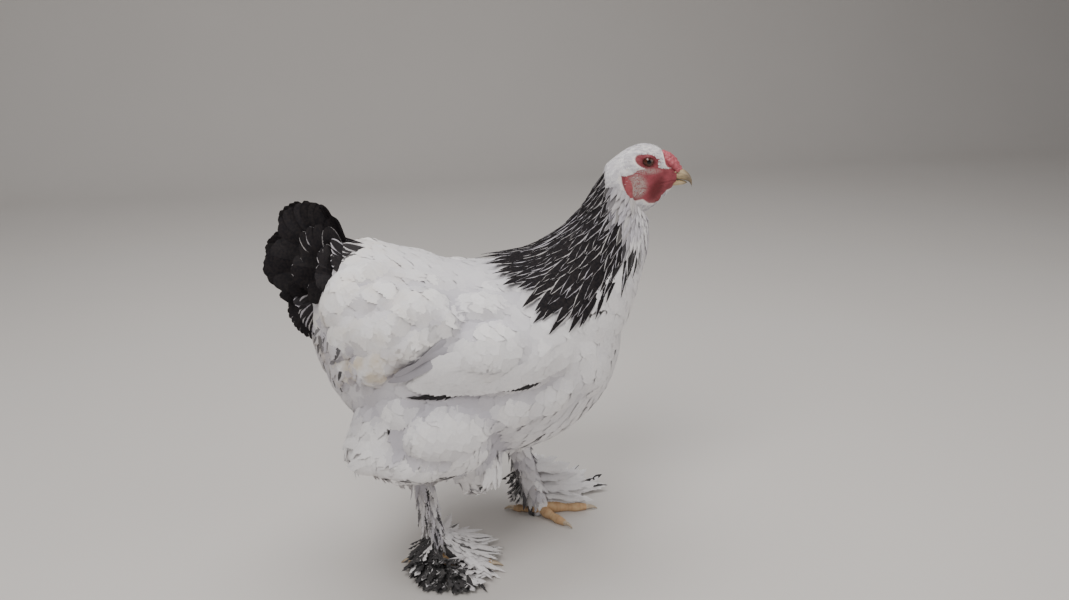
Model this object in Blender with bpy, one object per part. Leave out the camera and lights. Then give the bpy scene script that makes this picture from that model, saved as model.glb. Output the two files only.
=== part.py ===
"""A light brahma hen, life size, with its left foot forward and its head turned a little to the right.

Metres, +X towards the breast, +Y the bird's left, +Z up. The origin is on the floor, below the bird's middle.
"""

import math

import bmesh
import bpy
import numpy as np

# Driving dimensions
GAP = 0.00035
FLOOR_DEPTH = 0.03

# Torso: x, top, bottom and half width of each upright section, from the rump to the breast
TORSO_SECTIONS = (
    (-0.164, 0.300, 0.246, 0.032),
    (-0.150, 0.328, 0.209, 0.056),
    (-0.130, 0.344, 0.180, 0.075),
    (-0.100, 0.348, 0.157, 0.090),
    (-0.060, 0.336, 0.146, 0.096),
    (-0.020, 0.318, 0.134, 0.098),
    (0.020, 0.317, 0.127, 0.096),
    (0.060, 0.321, 0.133, 0.088),
    (0.095, 0.316, 0.152, 0.073),
    (0.122, 0.298, 0.178, 0.052),
    (0.138, 0.268, 0.209, 0.026),
)
RUMP_END = (-0.169, 0.276)
BREAST_END = (0.1435, 0.238)
TORSO_ROUNDNESS = 2.25
TORSO_SIDES = 20

# Hackle: the cape's collar under the head, its waist and its lower edge, by angle from the nape to the throat
CAPE_ANGLES = (0, 45, 90, 125, 155, 180)
CAPE_COLLAR = (
    (0.121, 0.000, 0.405),
    (0.131, 0.016, 0.397),
    (0.147, 0.022, 0.382),
    (0.158, 0.018, 0.371),
    (0.167, 0.010, 0.362),
    (0.171, 0.000, 0.358),
)
CAPE_WAIST = (
    (0.088, 0.000, 0.332),
    (0.100, 0.022, 0.332),
    (0.128, 0.034, 0.332),
    (0.150, 0.034, 0.330),
    (0.172, 0.020, 0.332),
    (0.179, 0.000, 0.334),
)
CAPE_EDGE = (
    (0.014, 0.000, 0.3220),
    (0.025, 0.052, 0.309),
    (0.060, 0.081, 0.276),
    (0.108, 0.064, 0.258),
    (0.139, 0.035, 0.252),
    (0.1475, 0.000, 0.250),
)
CAPE_DEPTH = 0.004
CAPE_CORE_SHARES = (0.0, 0.18, 0.36, 0.54, 0.74, 0.93)
CAPE_SIDES = 20
NECK_TOP = (0.150, 0.0, 0.392)
NECK_LOW = (0.080, 0.0, 0.270)
NECK_NARROWING = 0.55
# Tiers of hackle feathers: start along the cape, count, and how far round from the nape each goes
HACKLE_TIERS = (
    (0.02, 6, 140.0),
    (0.18, 8, 140.0),
    (0.34, 9, 138.0),
    (0.49, 11, 136.0),
    (0.64, 12, 134.0),
)
HACKLE_LENGTH = 0.37
CAPE_CLEARANCE = 0.0014
CAPE_CUT_SHARES = (0.30, 0.50, 0.70, 0.88, 1.0, 1.07)
CAPE_CUT_SIDES = 24
HACKLE_FILL = 0.86
HACKLE_LIFTS = (-0.0075, -0.0050, -0.0014, -0.0001, 0.0003)
HACKLE_STEPS = (0.0, 0.26, 0.58, 0.86, 1.0)
HACKLE_WIDTHS = (0.42, 1.0, 0.64)

# Head: turned about the upright axis through HEAD_PIVOT. x ahead of the pivot, top, bottom and half width
HEAD_PIVOT = (0.1436, 0.0)
HEAD_YAW = math.radians(-16)
HEAD_SECTIONS = (
    (-0.016, 0.4100, 0.3720, 0.0170),
    (-0.006, 0.4185, 0.3640, 0.0190),
    (0.005, 0.4262, 0.3615, 0.0196),
    (0.018, 0.4305, 0.3625, 0.0188),
    (0.030, 0.4290, 0.3690, 0.0165),
    (0.040, 0.4225, 0.3790, 0.0132),
    (0.048, 0.4130, 0.3875, 0.0096),
    (0.0525, 0.4080, 0.3930, 0.0072),
)
HEAD_BACK = (-0.021, 0.394)
HEAD_FRONT = (0.0535, 0.4010)
HEAD_SIDES = 14
HEAD_ROUNDNESS = 2.15
EYE_CENTRE = (0.0232, 0.0117, 0.4163)
EYE_RADIUS = 0.0066
LID_RADIUS = 0.0014
LID_HALF_LENGTH = 0.0058
LID_HALF_HEIGHT = 0.0052
LID_OUT = 0.0040
LID_POINTS = 10
EARLOBE_CENTRE = (0.0062, 0.0178, 0.3870)
EARLOBE_SIZE = (0.0045, 0.0024, 0.0105)
WATTLE_CENTRE = (0.0340, 0.0086, 0.3815)
WATTLE_SIZE = (0.0066, 0.0025, 0.0088)
COMB_ROWS = ((-0.0032, 0.78), (0.0, 1.0), (0.0032, 0.78))
COMB_BUMPS = 4
COMB_ARCH = 0.0022
COMB_START = (0.0375, 0.4248)
COMB_END = (0.0560, 0.4085)
COMB_BUMP_RADIUS = 0.0027
COMB_ROW_DROP = 0.006
COMB_BASE_RADIUS = 0.0050
COMB_BASE_FLATNESS = 0.50
COMB_BASE_POINTS = 5

# Beak: x ahead of the pivot, top, bottom and half width
UPPER_BEAK = (
    (0.0475, 0.4100, 0.3975, 0.0072),
    (0.0530, 0.4088, 0.3968, 0.0066),
    (0.0580, 0.4072, 0.3962, 0.0056),
    (0.0625, 0.4045, 0.3952, 0.0044),
    (0.0660, 0.4008, 0.3932, 0.0031),
    (0.0682, 0.3962, 0.3902, 0.0018),
)
UPPER_BEAK_TIP = (0.0687, 0.3884)
LOWER_BEAK = (
    (0.0475, 0.3970, 0.3900, 0.0064),
    (0.0530, 0.3964, 0.3904, 0.0056),
    (0.0580, 0.3957, 0.3910, 0.0044),
    (0.0615, 0.3949, 0.3918, 0.0030),
)
LOWER_BEAK_TIP = (0.0640, 0.3934)
BEAK_SIDES = 10
BEAK_ROUNDNESS = 2.2
NOSTRIL = (0.0515, 0.0062, 0.4040)
NOSTRIL_RADIUS = 0.0011

# Legs: x and y of the hock and the foot joint, and the heading of the middle toe
HOCK_HEIGHT = 0.108
FOOT_JOINT_HEIGHT = 0.021
SHANK_START = 0.012
LEGS = {
    "right": {
        "hock": (-0.073, -0.034), "foot": (-0.060, -0.025), "heading": -21.0, "side": -1,
        "extra": (),
    },
    "left": {
        "hock": (0.036, 0.040), "foot": (0.0656, 0.041), "heading": -9.0, "side": 1,
        "extra": (-150.0,),
    },
}
SHANK_RADIUS = (0.0125, 0.0095)
SHANK_SIDES = 10
THIGH_SIDES = 16
THIGH_TOP_RISE = 0.005
THIGH_LOW_DROP = 0.004
# Thigh: height, then x and y of the centre and the two half widths of each level section
THIGHS = {
    "right": (
        (0.238, -0.060, -0.046, 0.040, 0.028),
        (0.215, -0.062, -0.052, 0.062, 0.041),
        (0.185, -0.066, -0.056, 0.073, 0.048),
        (0.161, -0.070, -0.057, 0.073, 0.048),
        (0.146, -0.072, -0.053, 0.060, 0.041),
        (0.131, -0.073, -0.046, 0.040, 0.030),
        (0.116, -0.073, -0.038, 0.021, 0.018),
    ),
    "left": (
        (0.238, -0.026, 0.046, 0.040, 0.028),
        (0.215, -0.024, 0.052, 0.060, 0.041),
        (0.185, -0.018, 0.055, 0.068, 0.0475),
        (0.158, -0.006, 0.054, 0.062, 0.0445),
        (0.136, 0.010, 0.050, 0.049, 0.036),
        (0.116, 0.026, 0.044, 0.034, 0.027),
        (0.098, 0.036, 0.041, 0.021, 0.018),
    ),
}
# The fluff's ragged lower edge: how many locks, where they start and how long they hang
FRINGE_COUNT = 14
FRINGE_STAGGER = 0.003
FRINGE_START = {"right": 0.168, "left": 0.150}
FRINGE_LENGTH = 0.037
FRINGE_STEPS = (0.0, 0.30, 0.66, 1.0)
FRINGE_OUTS = (0.86, 1.01, 1.01, 0.93)
FRINGE_FILL = (0.80, 0.96)
FRINGE_THICKNESS = 0.0020

# Toes: name, angle from the middle toe away from the body, length, root and tip radius, claw length
TOES = (
    ("hind", 168.0, 0.026, 0.0052, 0.0036, 0.011),
    ("inner", -46.0, 0.042, 0.0062, 0.0040, 0.011),
    ("middle", 0.0, 0.058, 0.0068, 0.0042, 0.013),
    ("outer", 40.0, 0.045, 0.0062, 0.0040, 0.011),
)
TOE_SIDES = 8
TOE_FLATNESS = 0.78
TOE_KNUCKLES = 0.09
TOE_ROOT_RISE = 0.004
CLAW_SIDES = 6
CLAW_RADIUS = 0.0028
CLAW_TAPER = 0.72
CLAW_HEIGHT = 0.0034
CLAW_ARCH = 0.0012
CLAW_FALL = 0.0020
PAD_RADIUS = 0.0105
PAD_HALF_HEIGHT = 0.013
PAD_CENTRE_HEIGHT = 0.010

# Foot feathers grow from a ridge down the shank's outer side and along the outer toe: ahead of, outwards
# of and above the foot joint's place on the floor
FOOT_RIDGE = (
    (0.000, 0.012, 0.044),
    (0.001, 0.014, 0.030),
    (0.006, 0.018, 0.017),
    (0.017, 0.026, 0.0105),
    (0.029, 0.034, 0.0090),
)
FOOT_RIDGE_RADIUS = 0.0055
FOOT_RIDGE_SIDES = 8
# Tiers of foot feathers: count, first and last place on the ridge, first and last angle outwards from the
# middle toe, first and last length, and the height of the tips
FOOT_FEATHERS = {
    "right": (
        (5, (0.98, 0.30), (22.0, 150.0), (0.040, 0.031), 0.0040),
        (6, (0.70, 0.06), (-28.0, 124.0), (0.050, 0.031), 0.0190),
    ),
    "left": (
        (5, (0.98, 0.34), (10.0, 92.0), (0.060, 0.042), 0.0070),
        (5, (0.66, 0.10), (20.0, 84.0), (0.058, 0.040), 0.0260),
    ),
}
FOOT_FEATHER_WIDTH = 0.0130
FOOT_FEATHER_ROLL = -0.42
FOOT_FEATHER_SHARES = (0.34, 0.68, 0.93)
# Shank feathers: places along the shank, and angles round it from the outer side
SHANK_TIERS = (0.12, 0.40, 0.66)
SHANK_ANGLES = (-95.0, -30.0, 35.0)
SHANK_FEATHER_LENGTH = 0.034
SHANK_FEATHER_WIDTH = 0.0115
SHANK_FEATHER_ROOT = 0.004
SHANK_FEATHER_OUT = 0.42

# Wing, folded: x, lower edge, upper edge and thickness of each section of its core, from behind forwards
WING_SECTIONS = (
    (-0.070, 0.2370, 0.2700, 0.0028),
    (-0.045, 0.2310, 0.2860, 0.0052),
    (-0.010, 0.2270, 0.2960, 0.0070),
    (0.025, 0.2270, 0.2960, 0.0075),
    (0.050, 0.2330, 0.2880, 0.0062),
    (0.068, 0.2430, 0.2750, 0.0038),
)
WING_BACK = (-0.084, 0.2510)
SHOULDER = (0.078, 0.2580)
# Rows of wing feathers: count, root and tip of the lowest and of the highest one in side view, lift off the
# torso at the root, the middle and the tip, width and sag
WING_ROWS = (
    (7, (0.040, 0.2320), (-0.109, 0.2400), (0.020, 0.2780), (-0.060, 0.2850),
     (0.0030, 0.0062, 0.0036), 0.0150, 0.0045),
    (5, (0.052, 0.2370), (-0.016, 0.2330), (0.030, 0.2850), (-0.044, 0.2850),
     (0.0040, 0.0086, 0.0088), 0.0140, 0.0020),
    (4, (0.070, 0.2460), (0.016, 0.2400), (0.056, 0.2800), (0.000, 0.2830),
     (0.0020, 0.0092, 0.0112), 0.0140, 0.0010),
)
WING_ROLL = 0.22
WING_STEPS = (0.0, 0.34, 0.70, 0.95, 1.0)
WING_FEATHER_WIDTHS = (0.80, 1.0, 0.60)
WING_FEATHER_THICKNESS = 0.0010
WING_SIDES = 5
WING_INNER = -0.003
WING_END_LIFT = 0.0004

# Tail: where its feathers grow from and how they fan
TAIL_ROOT = (-0.128, 0.0035, 0.322)
TAIL_STUB = (
    (-0.112, 0.314, 0.034, 0.024),
    (-0.135, 0.322, 0.030, 0.022),
    (-0.152, 0.330, 0.022, 0.018),
    (-0.166, 0.337, 0.011, 0.010),
)
TAIL_STUB_ENDS = ((-0.108, 0.0, 0.312), (-0.170, 0.0, 0.339))
TAIL_STUB_SIDES = 14
UNDER_TAIL = (-0.146, 0.0, 0.300)
UNDER_TAIL_SIZE = (0.030, 0.028, 0.026)
TAIL_PAIRS = 7
TAIL_RISE = (61.0, 0.0)
TAIL_SPLAY = (2.0, 28.0)
TAIL_LENGTH = (0.077, 0.092)
TAIL_WIDTH = 0.021
TAIL_ROLL = 0.17
TAIL_ROOF = 0.9
# Tail coverts: count on each side, first and last rise, splay, lengths, root's place and width
COVERTS = (
    (4, (66.0, -14.0), (12.0, 38.0), (0.050, 0.060), (-0.130, 0.010, 0.322), 0.0225),
    (4, (56.0, -8.0), (26.0, 54.0), (0.034, 0.040), (-0.130, 0.018, 0.320), 0.0190),
    (4, (-16.0, -76.0), (8.0, 14.0), (0.042, 0.052), (-0.152, 0.006, 0.299), 0.0165),
    (2, (-30.0, -66.0), (36.0, 48.0), (0.038, 0.047), (-0.148, 0.010, 0.300), 0.0190),
)
FEATHER_THICKNESS = 0.0011
FEATHER_SHARES = (0.45, 0.70, 0.94)
FEATHER_WIDTHS = (0.62, 1.0, 0.62)

# Materials: name, base colour and roughness
WHITE = ("plumage white", (0.86, 0.84, 0.81), 0.85)
BLACK = ("plumage black", (0.03, 0.03, 0.035), 0.55)
RED = ("bare skin", (0.55, 0.10, 0.10), 0.50)
HORN = ("horn", (0.62, 0.52, 0.33), 0.40)
YELLOW = ("toe skin", (0.74, 0.52, 0.20), 0.55)
EYE = ("eye", (0.28, 0.09, 0.03), 0.10)


def clear_scene():
    for obj in list(bpy.data.objects):
        bpy.data.objects.remove(obj)


def finish_material(kind):
    """The material of this name, made once."""
    name, colour, roughness = kind
    material = bpy.data.materials.get(name)
    if material is None:
        material = bpy.data.materials.new(name)
        material.use_nodes = True
        shader = material.node_tree.nodes["Principled BSDF"]
        shader.inputs["Base Color"].default_value = (*colour, 1.0)
        shader.inputs["Roughness"].default_value = roughness
        shader.inputs["Metallic"].default_value = 0.0
    return material


def signed_volume(verts, faces):
    corners = verts[faces]
    return float(np.einsum("ij,ij->i", corners[:, 0], np.cross(corners[:, 1], corners[:, 2])).sum() / 6)


def solid(name, verts, faces, kind):
    """One closed mesh object of triangles, turned so that its faces point out."""
    verts = np.asarray(verts, float)
    faces = np.asarray(faces, int)
    if signed_volume(verts, faces) < 0:
        faces = faces[:, ::-1]
    mesh = bpy.data.meshes.new(name)
    mesh.from_pydata(verts.tolist(), [], faces.tolist())
    mesh.materials.append(finish_material(kind))
    mesh.shade_smooth()
    mesh.set_sharp_from_angle(angle=math.radians(40))
    obj = bpy.data.objects.new(name, mesh)
    bpy.context.scene.collection.objects.link(obj)
    return obj


def smooth_rows(rows, per_span):
    """Rows of numbers along a smooth curve through the given rows, with per_span steps between two."""
    rows = np.asarray(rows, float)
    ends = np.vstack([2 * rows[0] - rows[1], rows, 2 * rows[-1] - rows[-2]])
    made = []
    for i in range(1, len(rows)):
        before, start, end, after = ends[i - 1], ends[i], ends[i + 1], ends[i + 2]
        for step in range(per_span):
            t = step / per_span
            made.append(
                0.5 * (2 * start + (end - before) * t
                       + (2 * before - 5 * start + 4 * end - after) * t * t
                       + (3 * start - before - 3 * end + after) * t ** 3)
            )
    made.append(rows[-1])
    return np.array(made)


def oval(sides, roundness=2.0):
    """Cosines and sines round an oval, which roundness above 2 makes squarer."""
    turn = np.arange(sides) * 2 * math.pi / sides
    c, s = np.cos(turn), np.sin(turn)
    power = 2.0 / roundness
    return np.sign(c) * np.abs(c) ** power, np.sign(s) * np.abs(s) ** power


def loft_faces(rings, sides, first_pole, last_pole):
    """Triangles of a skin over rings of points, closed by a point at each end."""
    faces = []
    for ring in range(rings - 1):
        for side in range(sides):
            a = ring * sides + side
            b = ring * sides + (side + 1) % sides
            faces += [(a, b, b + sides), (a, b + sides, a + sides)]
    last = (rings - 1) * sides
    for side in range(sides):
        after = (side + 1) % sides
        faces.append((after, side, first_pole))
        faces.append((last + side, last + after, last_pole))
    return faces


def loft(name, rings, poles, kind):
    """A closed solid over equal rings of points, with a pole beyond the first and the last ring."""
    rings = np.asarray(rings, float)
    count, sides = rings.shape[:2]
    verts = np.vstack([rings.reshape(-1, 3), np.asarray(poles, float)])
    return solid(name, verts, loft_faces(count, sides, count * sides, count * sides + 1), kind)


def upright_rings(sections, sides, roundness, place=None):
    """Rings across X from rows of x, top, bottom and half width."""
    c, s = oval(sides, roundness)
    rings = []
    for x, top, bottom, half in sections:
        middle = (top + bottom) / 2
        ring = np.stack([np.full(sides, x), half * c, middle + (top - bottom) / 2 * s], axis=1)
        rings.append(ring if place is None else place(ring))
    return rings


def in_head(points):
    """Points ahead of, beside and above the head's pivot, set into the turned head."""
    points = np.atleast_2d(np.asarray(points, float))
    c, s = math.cos(HEAD_YAW), math.sin(HEAD_YAW)
    return np.stack([
        HEAD_PIVOT[0] + points[:, 0] * c - points[:, 1] * s,
        HEAD_PIVOT[1] + points[:, 0] * s + points[:, 1] * c,
        points[:, 2],
    ], axis=1)


def ball(name, centre, size, kind, segments=16, rings=10, place=None):
    """A ball stretched to three half sizes."""
    c, s = oval(segments)
    levels = np.cos(np.arange(1, rings) * math.pi / rings)
    made = []
    for level in levels:
        width = math.sqrt(1 - level * level)
        made.append(np.stack([
            centre[0] + size[0] * width * c, centre[1] + size[1] * width * s,
            np.full(segments, centre[2] + size[2] * level)], axis=1))
    poles = np.array([[centre[0], centre[1], centre[2] + lift] for lift in (size[2], -size[2])])
    if place is not None:
        made = [place(ring) for ring in made]
        poles = place(poles)
    return loft(name, made, poles, kind)


def tube(name, points, radii, kind, sides=10, up=(0.0, 0.0, 1.0), flatten=1.0):
    """A round bar along points, closed by a point a little beyond each end."""
    points = np.asarray(points, float)
    radii = np.broadcast_to(np.asarray(radii, float), len(points))
    c, s = oval(sides)
    tangents = np.gradient(points, axis=0)
    tangents /= np.linalg.norm(tangents, axis=1)[:, None]
    rings = []
    for point, tangent, radius in zip(points, tangents, radii):
        across = np.cross(tangent, up)
        across /= np.linalg.norm(across)
        lift = np.cross(across, tangent)
        rings.append(point + radius * (np.outer(c, across) + flatten * np.outer(s, lift)))
    poles = (points[0] - tangents[0] * radii[0] * 0.5, points[-1] + tangents[-1] * radii[-1] * 0.8)
    return loft(name, rings, poles, kind)


def vane(spine, across, out, widths, thickness=FEATHER_THICKNESS, kind=WHITE):
    """One flat feather with a raised shaft, from the first point of its spine, in the root, to the tip."""
    rings = []
    for point, side, up, width in zip(spine[1:-1], across[1:-1], out[1:-1], widths):
        half, rise = side * width / 2, up * thickness / 2
        rings.append([point + half, point + rise, point - half, point - rise])
    return loft("vane", rings, (spine[0], spine[-1]), kind)


def unit(vectors):
    vectors = np.asarray(vectors, float)
    return vectors / np.linalg.norm(vectors, axis=-1, keepdims=True)


def straight_vane(root, direction, down, length, width, roll=0.0, kind=WHITE, shares=FEATHER_SHARES):
    """A feather along a direction. down points across it, and its edge on that side is rolled outwards."""
    direction, down = unit(direction), np.asarray(down, float)
    down = unit(down - direction * (down @ direction))
    out = np.cross(down, direction)
    places = np.array((0.0, *shares, 1.0))
    spine = root + np.outer(places * length, direction)
    count = len(places)
    across = np.tile(unit(down + roll * out), (count, 1))
    return vane(spine, across, np.tile(out, (count, 1)), width * np.array(FEATHER_WIDTHS), kind=kind)


def spread(rng, value, share):
    """The value, varied by up to the share of itself."""
    return value * (1 + share * rng.uniform(-1, 1))


def applied(obj):
    """The object with its modifiers worked into its mesh."""
    graph = bpy.context.evaluated_depsgraph_get()
    mesh = bpy.data.meshes.new_from_object(obj.evaluated_get(graph))
    obj.modifiers.clear()
    obj.data = mesh
    return obj


def keep_largest(obj):
    """Leaves only the largest closed surface of the object's mesh."""
    shape = bmesh.new()
    shape.from_mesh(obj.data)
    bmesh.ops.triangulate(shape, faces=shape.faces)
    left, islands = set(shape.verts), []
    while left:
        todo, island = [left.pop()], set()
        while todo:
            vert = todo.pop()
            island.add(vert)
            for edge in vert.link_edges:
                other = edge.other_vert(vert)
                if other in left:
                    left.remove(other)
                    todo.append(other)
        islands.append(island)
    islands.sort(key=len, reverse=True)
    doomed = [vert for island in islands[1:] for vert in island]
    if doomed:
        bmesh.ops.delete(shape, geom=doomed, context="VERTS")
    shape.to_mesh(obj.data)
    shape.free()
    return obj


def joined(obj, pieces):
    """The object fused with closed pieces, which are then removed."""
    group = bpy.data.collections.new(obj.name + " pieces")
    bpy.context.scene.collection.children.link(group)
    for piece in pieces:
        bpy.context.scene.collection.objects.unlink(piece)
        group.objects.link(piece)
    fuse = obj.modifiers.new("fuse", "BOOLEAN")
    fuse.operation = "UNION"
    fuse.operand_type = "COLLECTION"
    fuse.collection = group
    fuse.solver = "MANIFOLD"
    applied(obj)
    for piece in pieces:
        bpy.data.objects.remove(piece)
    bpy.data.collections.remove(group)
    return keep_largest(obj)


def cut(obj, cutters):
    """The object less the cutters, which stay."""
    for cutter in cutters:
        trim = obj.modifiers.new("trim", "BOOLEAN")
        trim.operation = "DIFFERENCE"
        trim.object = cutter
        trim.solver = "MANIFOLD"
    applied(obj)
    return keep_largest(obj)


def grown(obj, by=GAP):
    """A cutter: the object's copy with its surface moved out by the gap."""
    copy = bpy.data.objects.new(obj.name + " cutter", obj.data.copy())
    bpy.context.scene.collection.objects.link(copy)
    normals = [vert.normal.copy() for vert in copy.data.vertices]
    for vert, normal in zip(copy.data.vertices, normals):
        vert.co += normal * by
    copy.hide_render = True
    copy.display_type = "WIRE"
    return copy


def remove_cutters():
    for obj in list(bpy.data.objects):
        if obj.hide_render:
            bpy.data.objects.remove(obj)


def floor_cutter():
    """A slab below the floor's level, which gives the feet their flats."""
    half = 0.4
    rings = [[(x, y, z) for x, y in ((-half, -half), (half, -half), (half, half), (-half, half))]
             for z in (-FLOOR_DEPTH, 0.0)]
    verts = np.array(rings).reshape(-1, 3)
    faces = [(0, 2, 1), (0, 3, 2), (4, 5, 6), (4, 6, 7)]
    for side in range(4):
        after = (side + 1) % 4
        faces += [(side, after, after + 4), (side, after + 4, side + 4)]
    slab = solid("floor cutter", verts, faces, WHITE)
    slab.hide_render = True
    slab.display_type = "WIRE"
    return slab


def make_torso():
    rings = upright_rings(smooth_rows(TORSO_SECTIONS, 2), TORSO_SIDES, TORSO_ROUNDNESS)
    poles = ((RUMP_END[0], 0, RUMP_END[1]), (BREAST_END[0], 0, BREAST_END[1]))
    return loft("torso", rings, poles, WHITE)


def torso_half_width(x, z):
    """How far out the torso's side is at a place in side view."""
    sections = smooth_rows(TORSO_SECTIONS, 8)
    top, bottom, half = (np.interp(x, sections[:, 0], sections[:, k]) for k in (1, 2, 3))
    level = np.clip(np.abs((z - (top + bottom) / 2) / ((top - bottom) / 2)), 0, 0.995)
    return half * (1 - level ** TORSO_ROUNDNESS) ** (1 / TORSO_ROUNDNESS)


def cape_point(angle, share):
    """A point of the hackle's surface. The angle runs from 0 at the nape to 180 at the throat, with the left
    positive, and share from 0 at the collar to 1 at the lower edge."""
    side = -1.0 if angle < 0 else 1.0
    curves = []
    for rows in (CAPE_COLLAR, CAPE_WAIST, CAPE_EDGE):
        rows = np.array(rows)
        curves.append([np.interp(abs(angle), CAPE_ANGLES, rows[:, k]) for k in range(3)])
    collar, waist, edge = np.array(curves)
    point = (1 - share) ** 2 * collar + 2 * share * (1 - share) * waist + share ** 2 * edge
    return point * np.array([1.0, side, 1.0])


def cape_normal(angle, share):
    step = 1.0
    along = cape_point(angle, min(share + 0.02, 1.0)) - cape_point(angle, share - 0.02)
    ahead, behind = angle + step, angle - step
    if ahead > 180:
        ahead = 180.0
    if behind < -180:
        behind = -180.0
    round_it = cape_point(ahead, share) - cape_point(behind, share)
    normal = np.cross(round_it, along)
    return normal / np.linalg.norm(normal)


def hackle_vane(angle, start, length, width):
    """A pointed feather that lies on the cape."""
    shares = start + length * np.array(HACKLE_STEPS)
    out = np.array([cape_normal(angle, max(share, 0.02)) for share in shares])
    spine = np.array([cape_point(angle, share) for share in shares]) + out * np.array(HACKLE_LIFTS)[:, None]
    along = unit(np.gradient(spine, axis=0))
    across = unit(np.cross(along, out))
    return vane(spine, across, out, width * np.array(HACKLE_WIDTHS))


def make_neck(cutters):
    """The neck and its hackle: a core inside the cape, with tiers of feathers from nape to shoulders."""
    angles = [-180 + 360 * k / CAPE_SIDES for k in range(CAPE_SIDES)]
    top, low = np.array(NECK_TOP), np.array(NECK_LOW)
    rings = []
    for share in CAPE_CORE_SHARES:
        rings.append([cape_point(a, share) - CAPE_DEPTH * cape_normal(a, max(share, 0.02)) for a in angles])
    rings.append([point + NECK_NARROWING * (low - point) for point in rings[-1]])
    core = loft("neck", rings, (top, low), WHITE)
    rng = np.random.default_rng(5)
    pieces = []
    for tier, (start, count, limit) in enumerate(HACKLE_TIERS):
        middle = start + 0.6 * HACKLE_LENGTH
        step = 2 * limit / count
        for k in range(count):
            angle = -limit + step * (k + 0.5 + 0.25 * (-1) ** tier) + rng.uniform(-0.08, 0.08) * step
            ahead, behind = cape_point(angle + step / 2, middle), cape_point(angle - step / 2, middle)
            spacing = np.linalg.norm(ahead - behind)
            length = spread(rng, HACKLE_LENGTH, 0.06)
            pieces.append(hackle_vane(angle, start, length, spread(rng, HACKLE_FILL * spacing, 0.05)))
    joined(core, pieces)
    return cut(core, cutters)


def cape_cutter():
    """A cutter just outside the hackle, out past its tips, which keeps the wings clear of it."""
    angles = [-180 + 360 * k / CAPE_CUT_SIDES for k in range(CAPE_CUT_SIDES)]
    rings = [[cape_point(a, share) + CAPE_CLEARANCE * cape_normal(a, share) for a in angles]
             for share in CAPE_CUT_SHARES]
    middle = np.mean(rings[-1], axis=0)
    rings.append([0.5 * point + 0.5 * middle for point in np.array(rings[-1])])
    cutter = loft("cape cutter", rings, (np.mean(rings[0], axis=0), middle), WHITE)
    cutter.hide_render = True
    cutter.display_type = "WIRE"
    return cutter


def make_head():
    rings = upright_rings(smooth_rows(HEAD_SECTIONS, 2), HEAD_SIDES, HEAD_ROUNDNESS, in_head)
    poles = in_head([(HEAD_BACK[0], 0, HEAD_BACK[1]), (HEAD_FRONT[0], 0, HEAD_FRONT[1])])
    return loft("head", rings, poles, WHITE)


def make_beak(head_cutter):
    made = []
    halves = (("beak_upper", UPPER_BEAK, UPPER_BEAK_TIP), ("beak_lower", LOWER_BEAK, LOWER_BEAK_TIP))
    for name, sections, tip in halves:
        rings = upright_rings(sections, BEAK_SIDES, BEAK_ROUNDNESS, in_head)
        first = sections[0]
        poles = in_head([(first[0] - 0.001, 0, (first[1] + first[2]) / 2), (tip[0], 0, tip[1])])
        made.append(loft(name, rings, poles, HORN))
    upper, lower = made
    nostrils = []
    for side in (1, -1):
        centre = (NOSTRIL[0], side * NOSTRIL[1], NOSTRIL[2])
        nostril = ball("nostril", centre, (NOSTRIL_RADIUS,) * 3, HORN, 8, 6, in_head)
        nostril.hide_render = True
        nostril.display_type = "WIRE"
        nostrils.append(nostril)
    cut(upper, nostrils)
    cut(lower, [grown(upper), head_cutter])
    cut(upper, [head_cutter])
    return made


def make_comb(cutters):
    """Three low rows of small bumps on a common base, the middle row the highest."""
    shares = np.linspace(0, 1, COMB_BASE_POINTS)
    start, end = np.array(COMB_START), np.array(COMB_END)
    line = start + shares[:, None] * (end - start)
    arch = COMB_ARCH * np.sin(shares * math.pi) - COMB_BUMP_RADIUS
    points = in_head(np.stack([line[:, 0], np.zeros(len(shares)), line[:, 1] + arch], axis=1))
    swell = COMB_BASE_RADIUS * (0.6 + 0.4 * np.sin(shares * math.pi))
    comb = tube("comb", points, swell, RED, 8, flatten=COMB_BASE_FLATNESS)
    pieces = []
    for row, (aside, height) in enumerate(COMB_ROWS):
        for bump in range(COMB_BUMPS):
            share = bump / (COMB_BUMPS - 1)
            middle = math.sin(share * math.pi)
            x = start[0] + share * (end[0] - start[0])
            z = start[1] + share * (end[1] - start[1]) + COMB_ARCH * middle - (1 - height) * COMB_ROW_DROP
            size = COMB_BUMP_RADIUS * (0.75 + 0.35 * middle)
            centre = (x, aside * (0.6 + 0.5 * middle), z)
            half_sizes = (size, size * 0.8, size * 1.25)
            pieces.append(ball(f"comb {row} {bump}", centre, half_sizes, RED, 5, 3, in_head))
    joined(comb, pieces)
    return cut(comb, cutters)


def make_face_flaps(head_cutter):
    """Ear lobes and wattles. Gives back the cutters that keep the hackle clear of them."""
    made = []
    flaps = (("earlobe", EARLOBE_CENTRE, EARLOBE_SIZE), ("wattle", WATTLE_CENTRE, WATTLE_SIZE))
    for side_name, side in (("left", 1), ("right", -1)):
        for name, centre, size in flaps:
            middle = (centre[0], side * centre[1], centre[2])
            flap = ball(f"{name}_{side_name}", middle, size, RED, 10, 6, in_head)
            cut(flap, [head_cutter])
            made.append(grown(flap))
    return made


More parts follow.
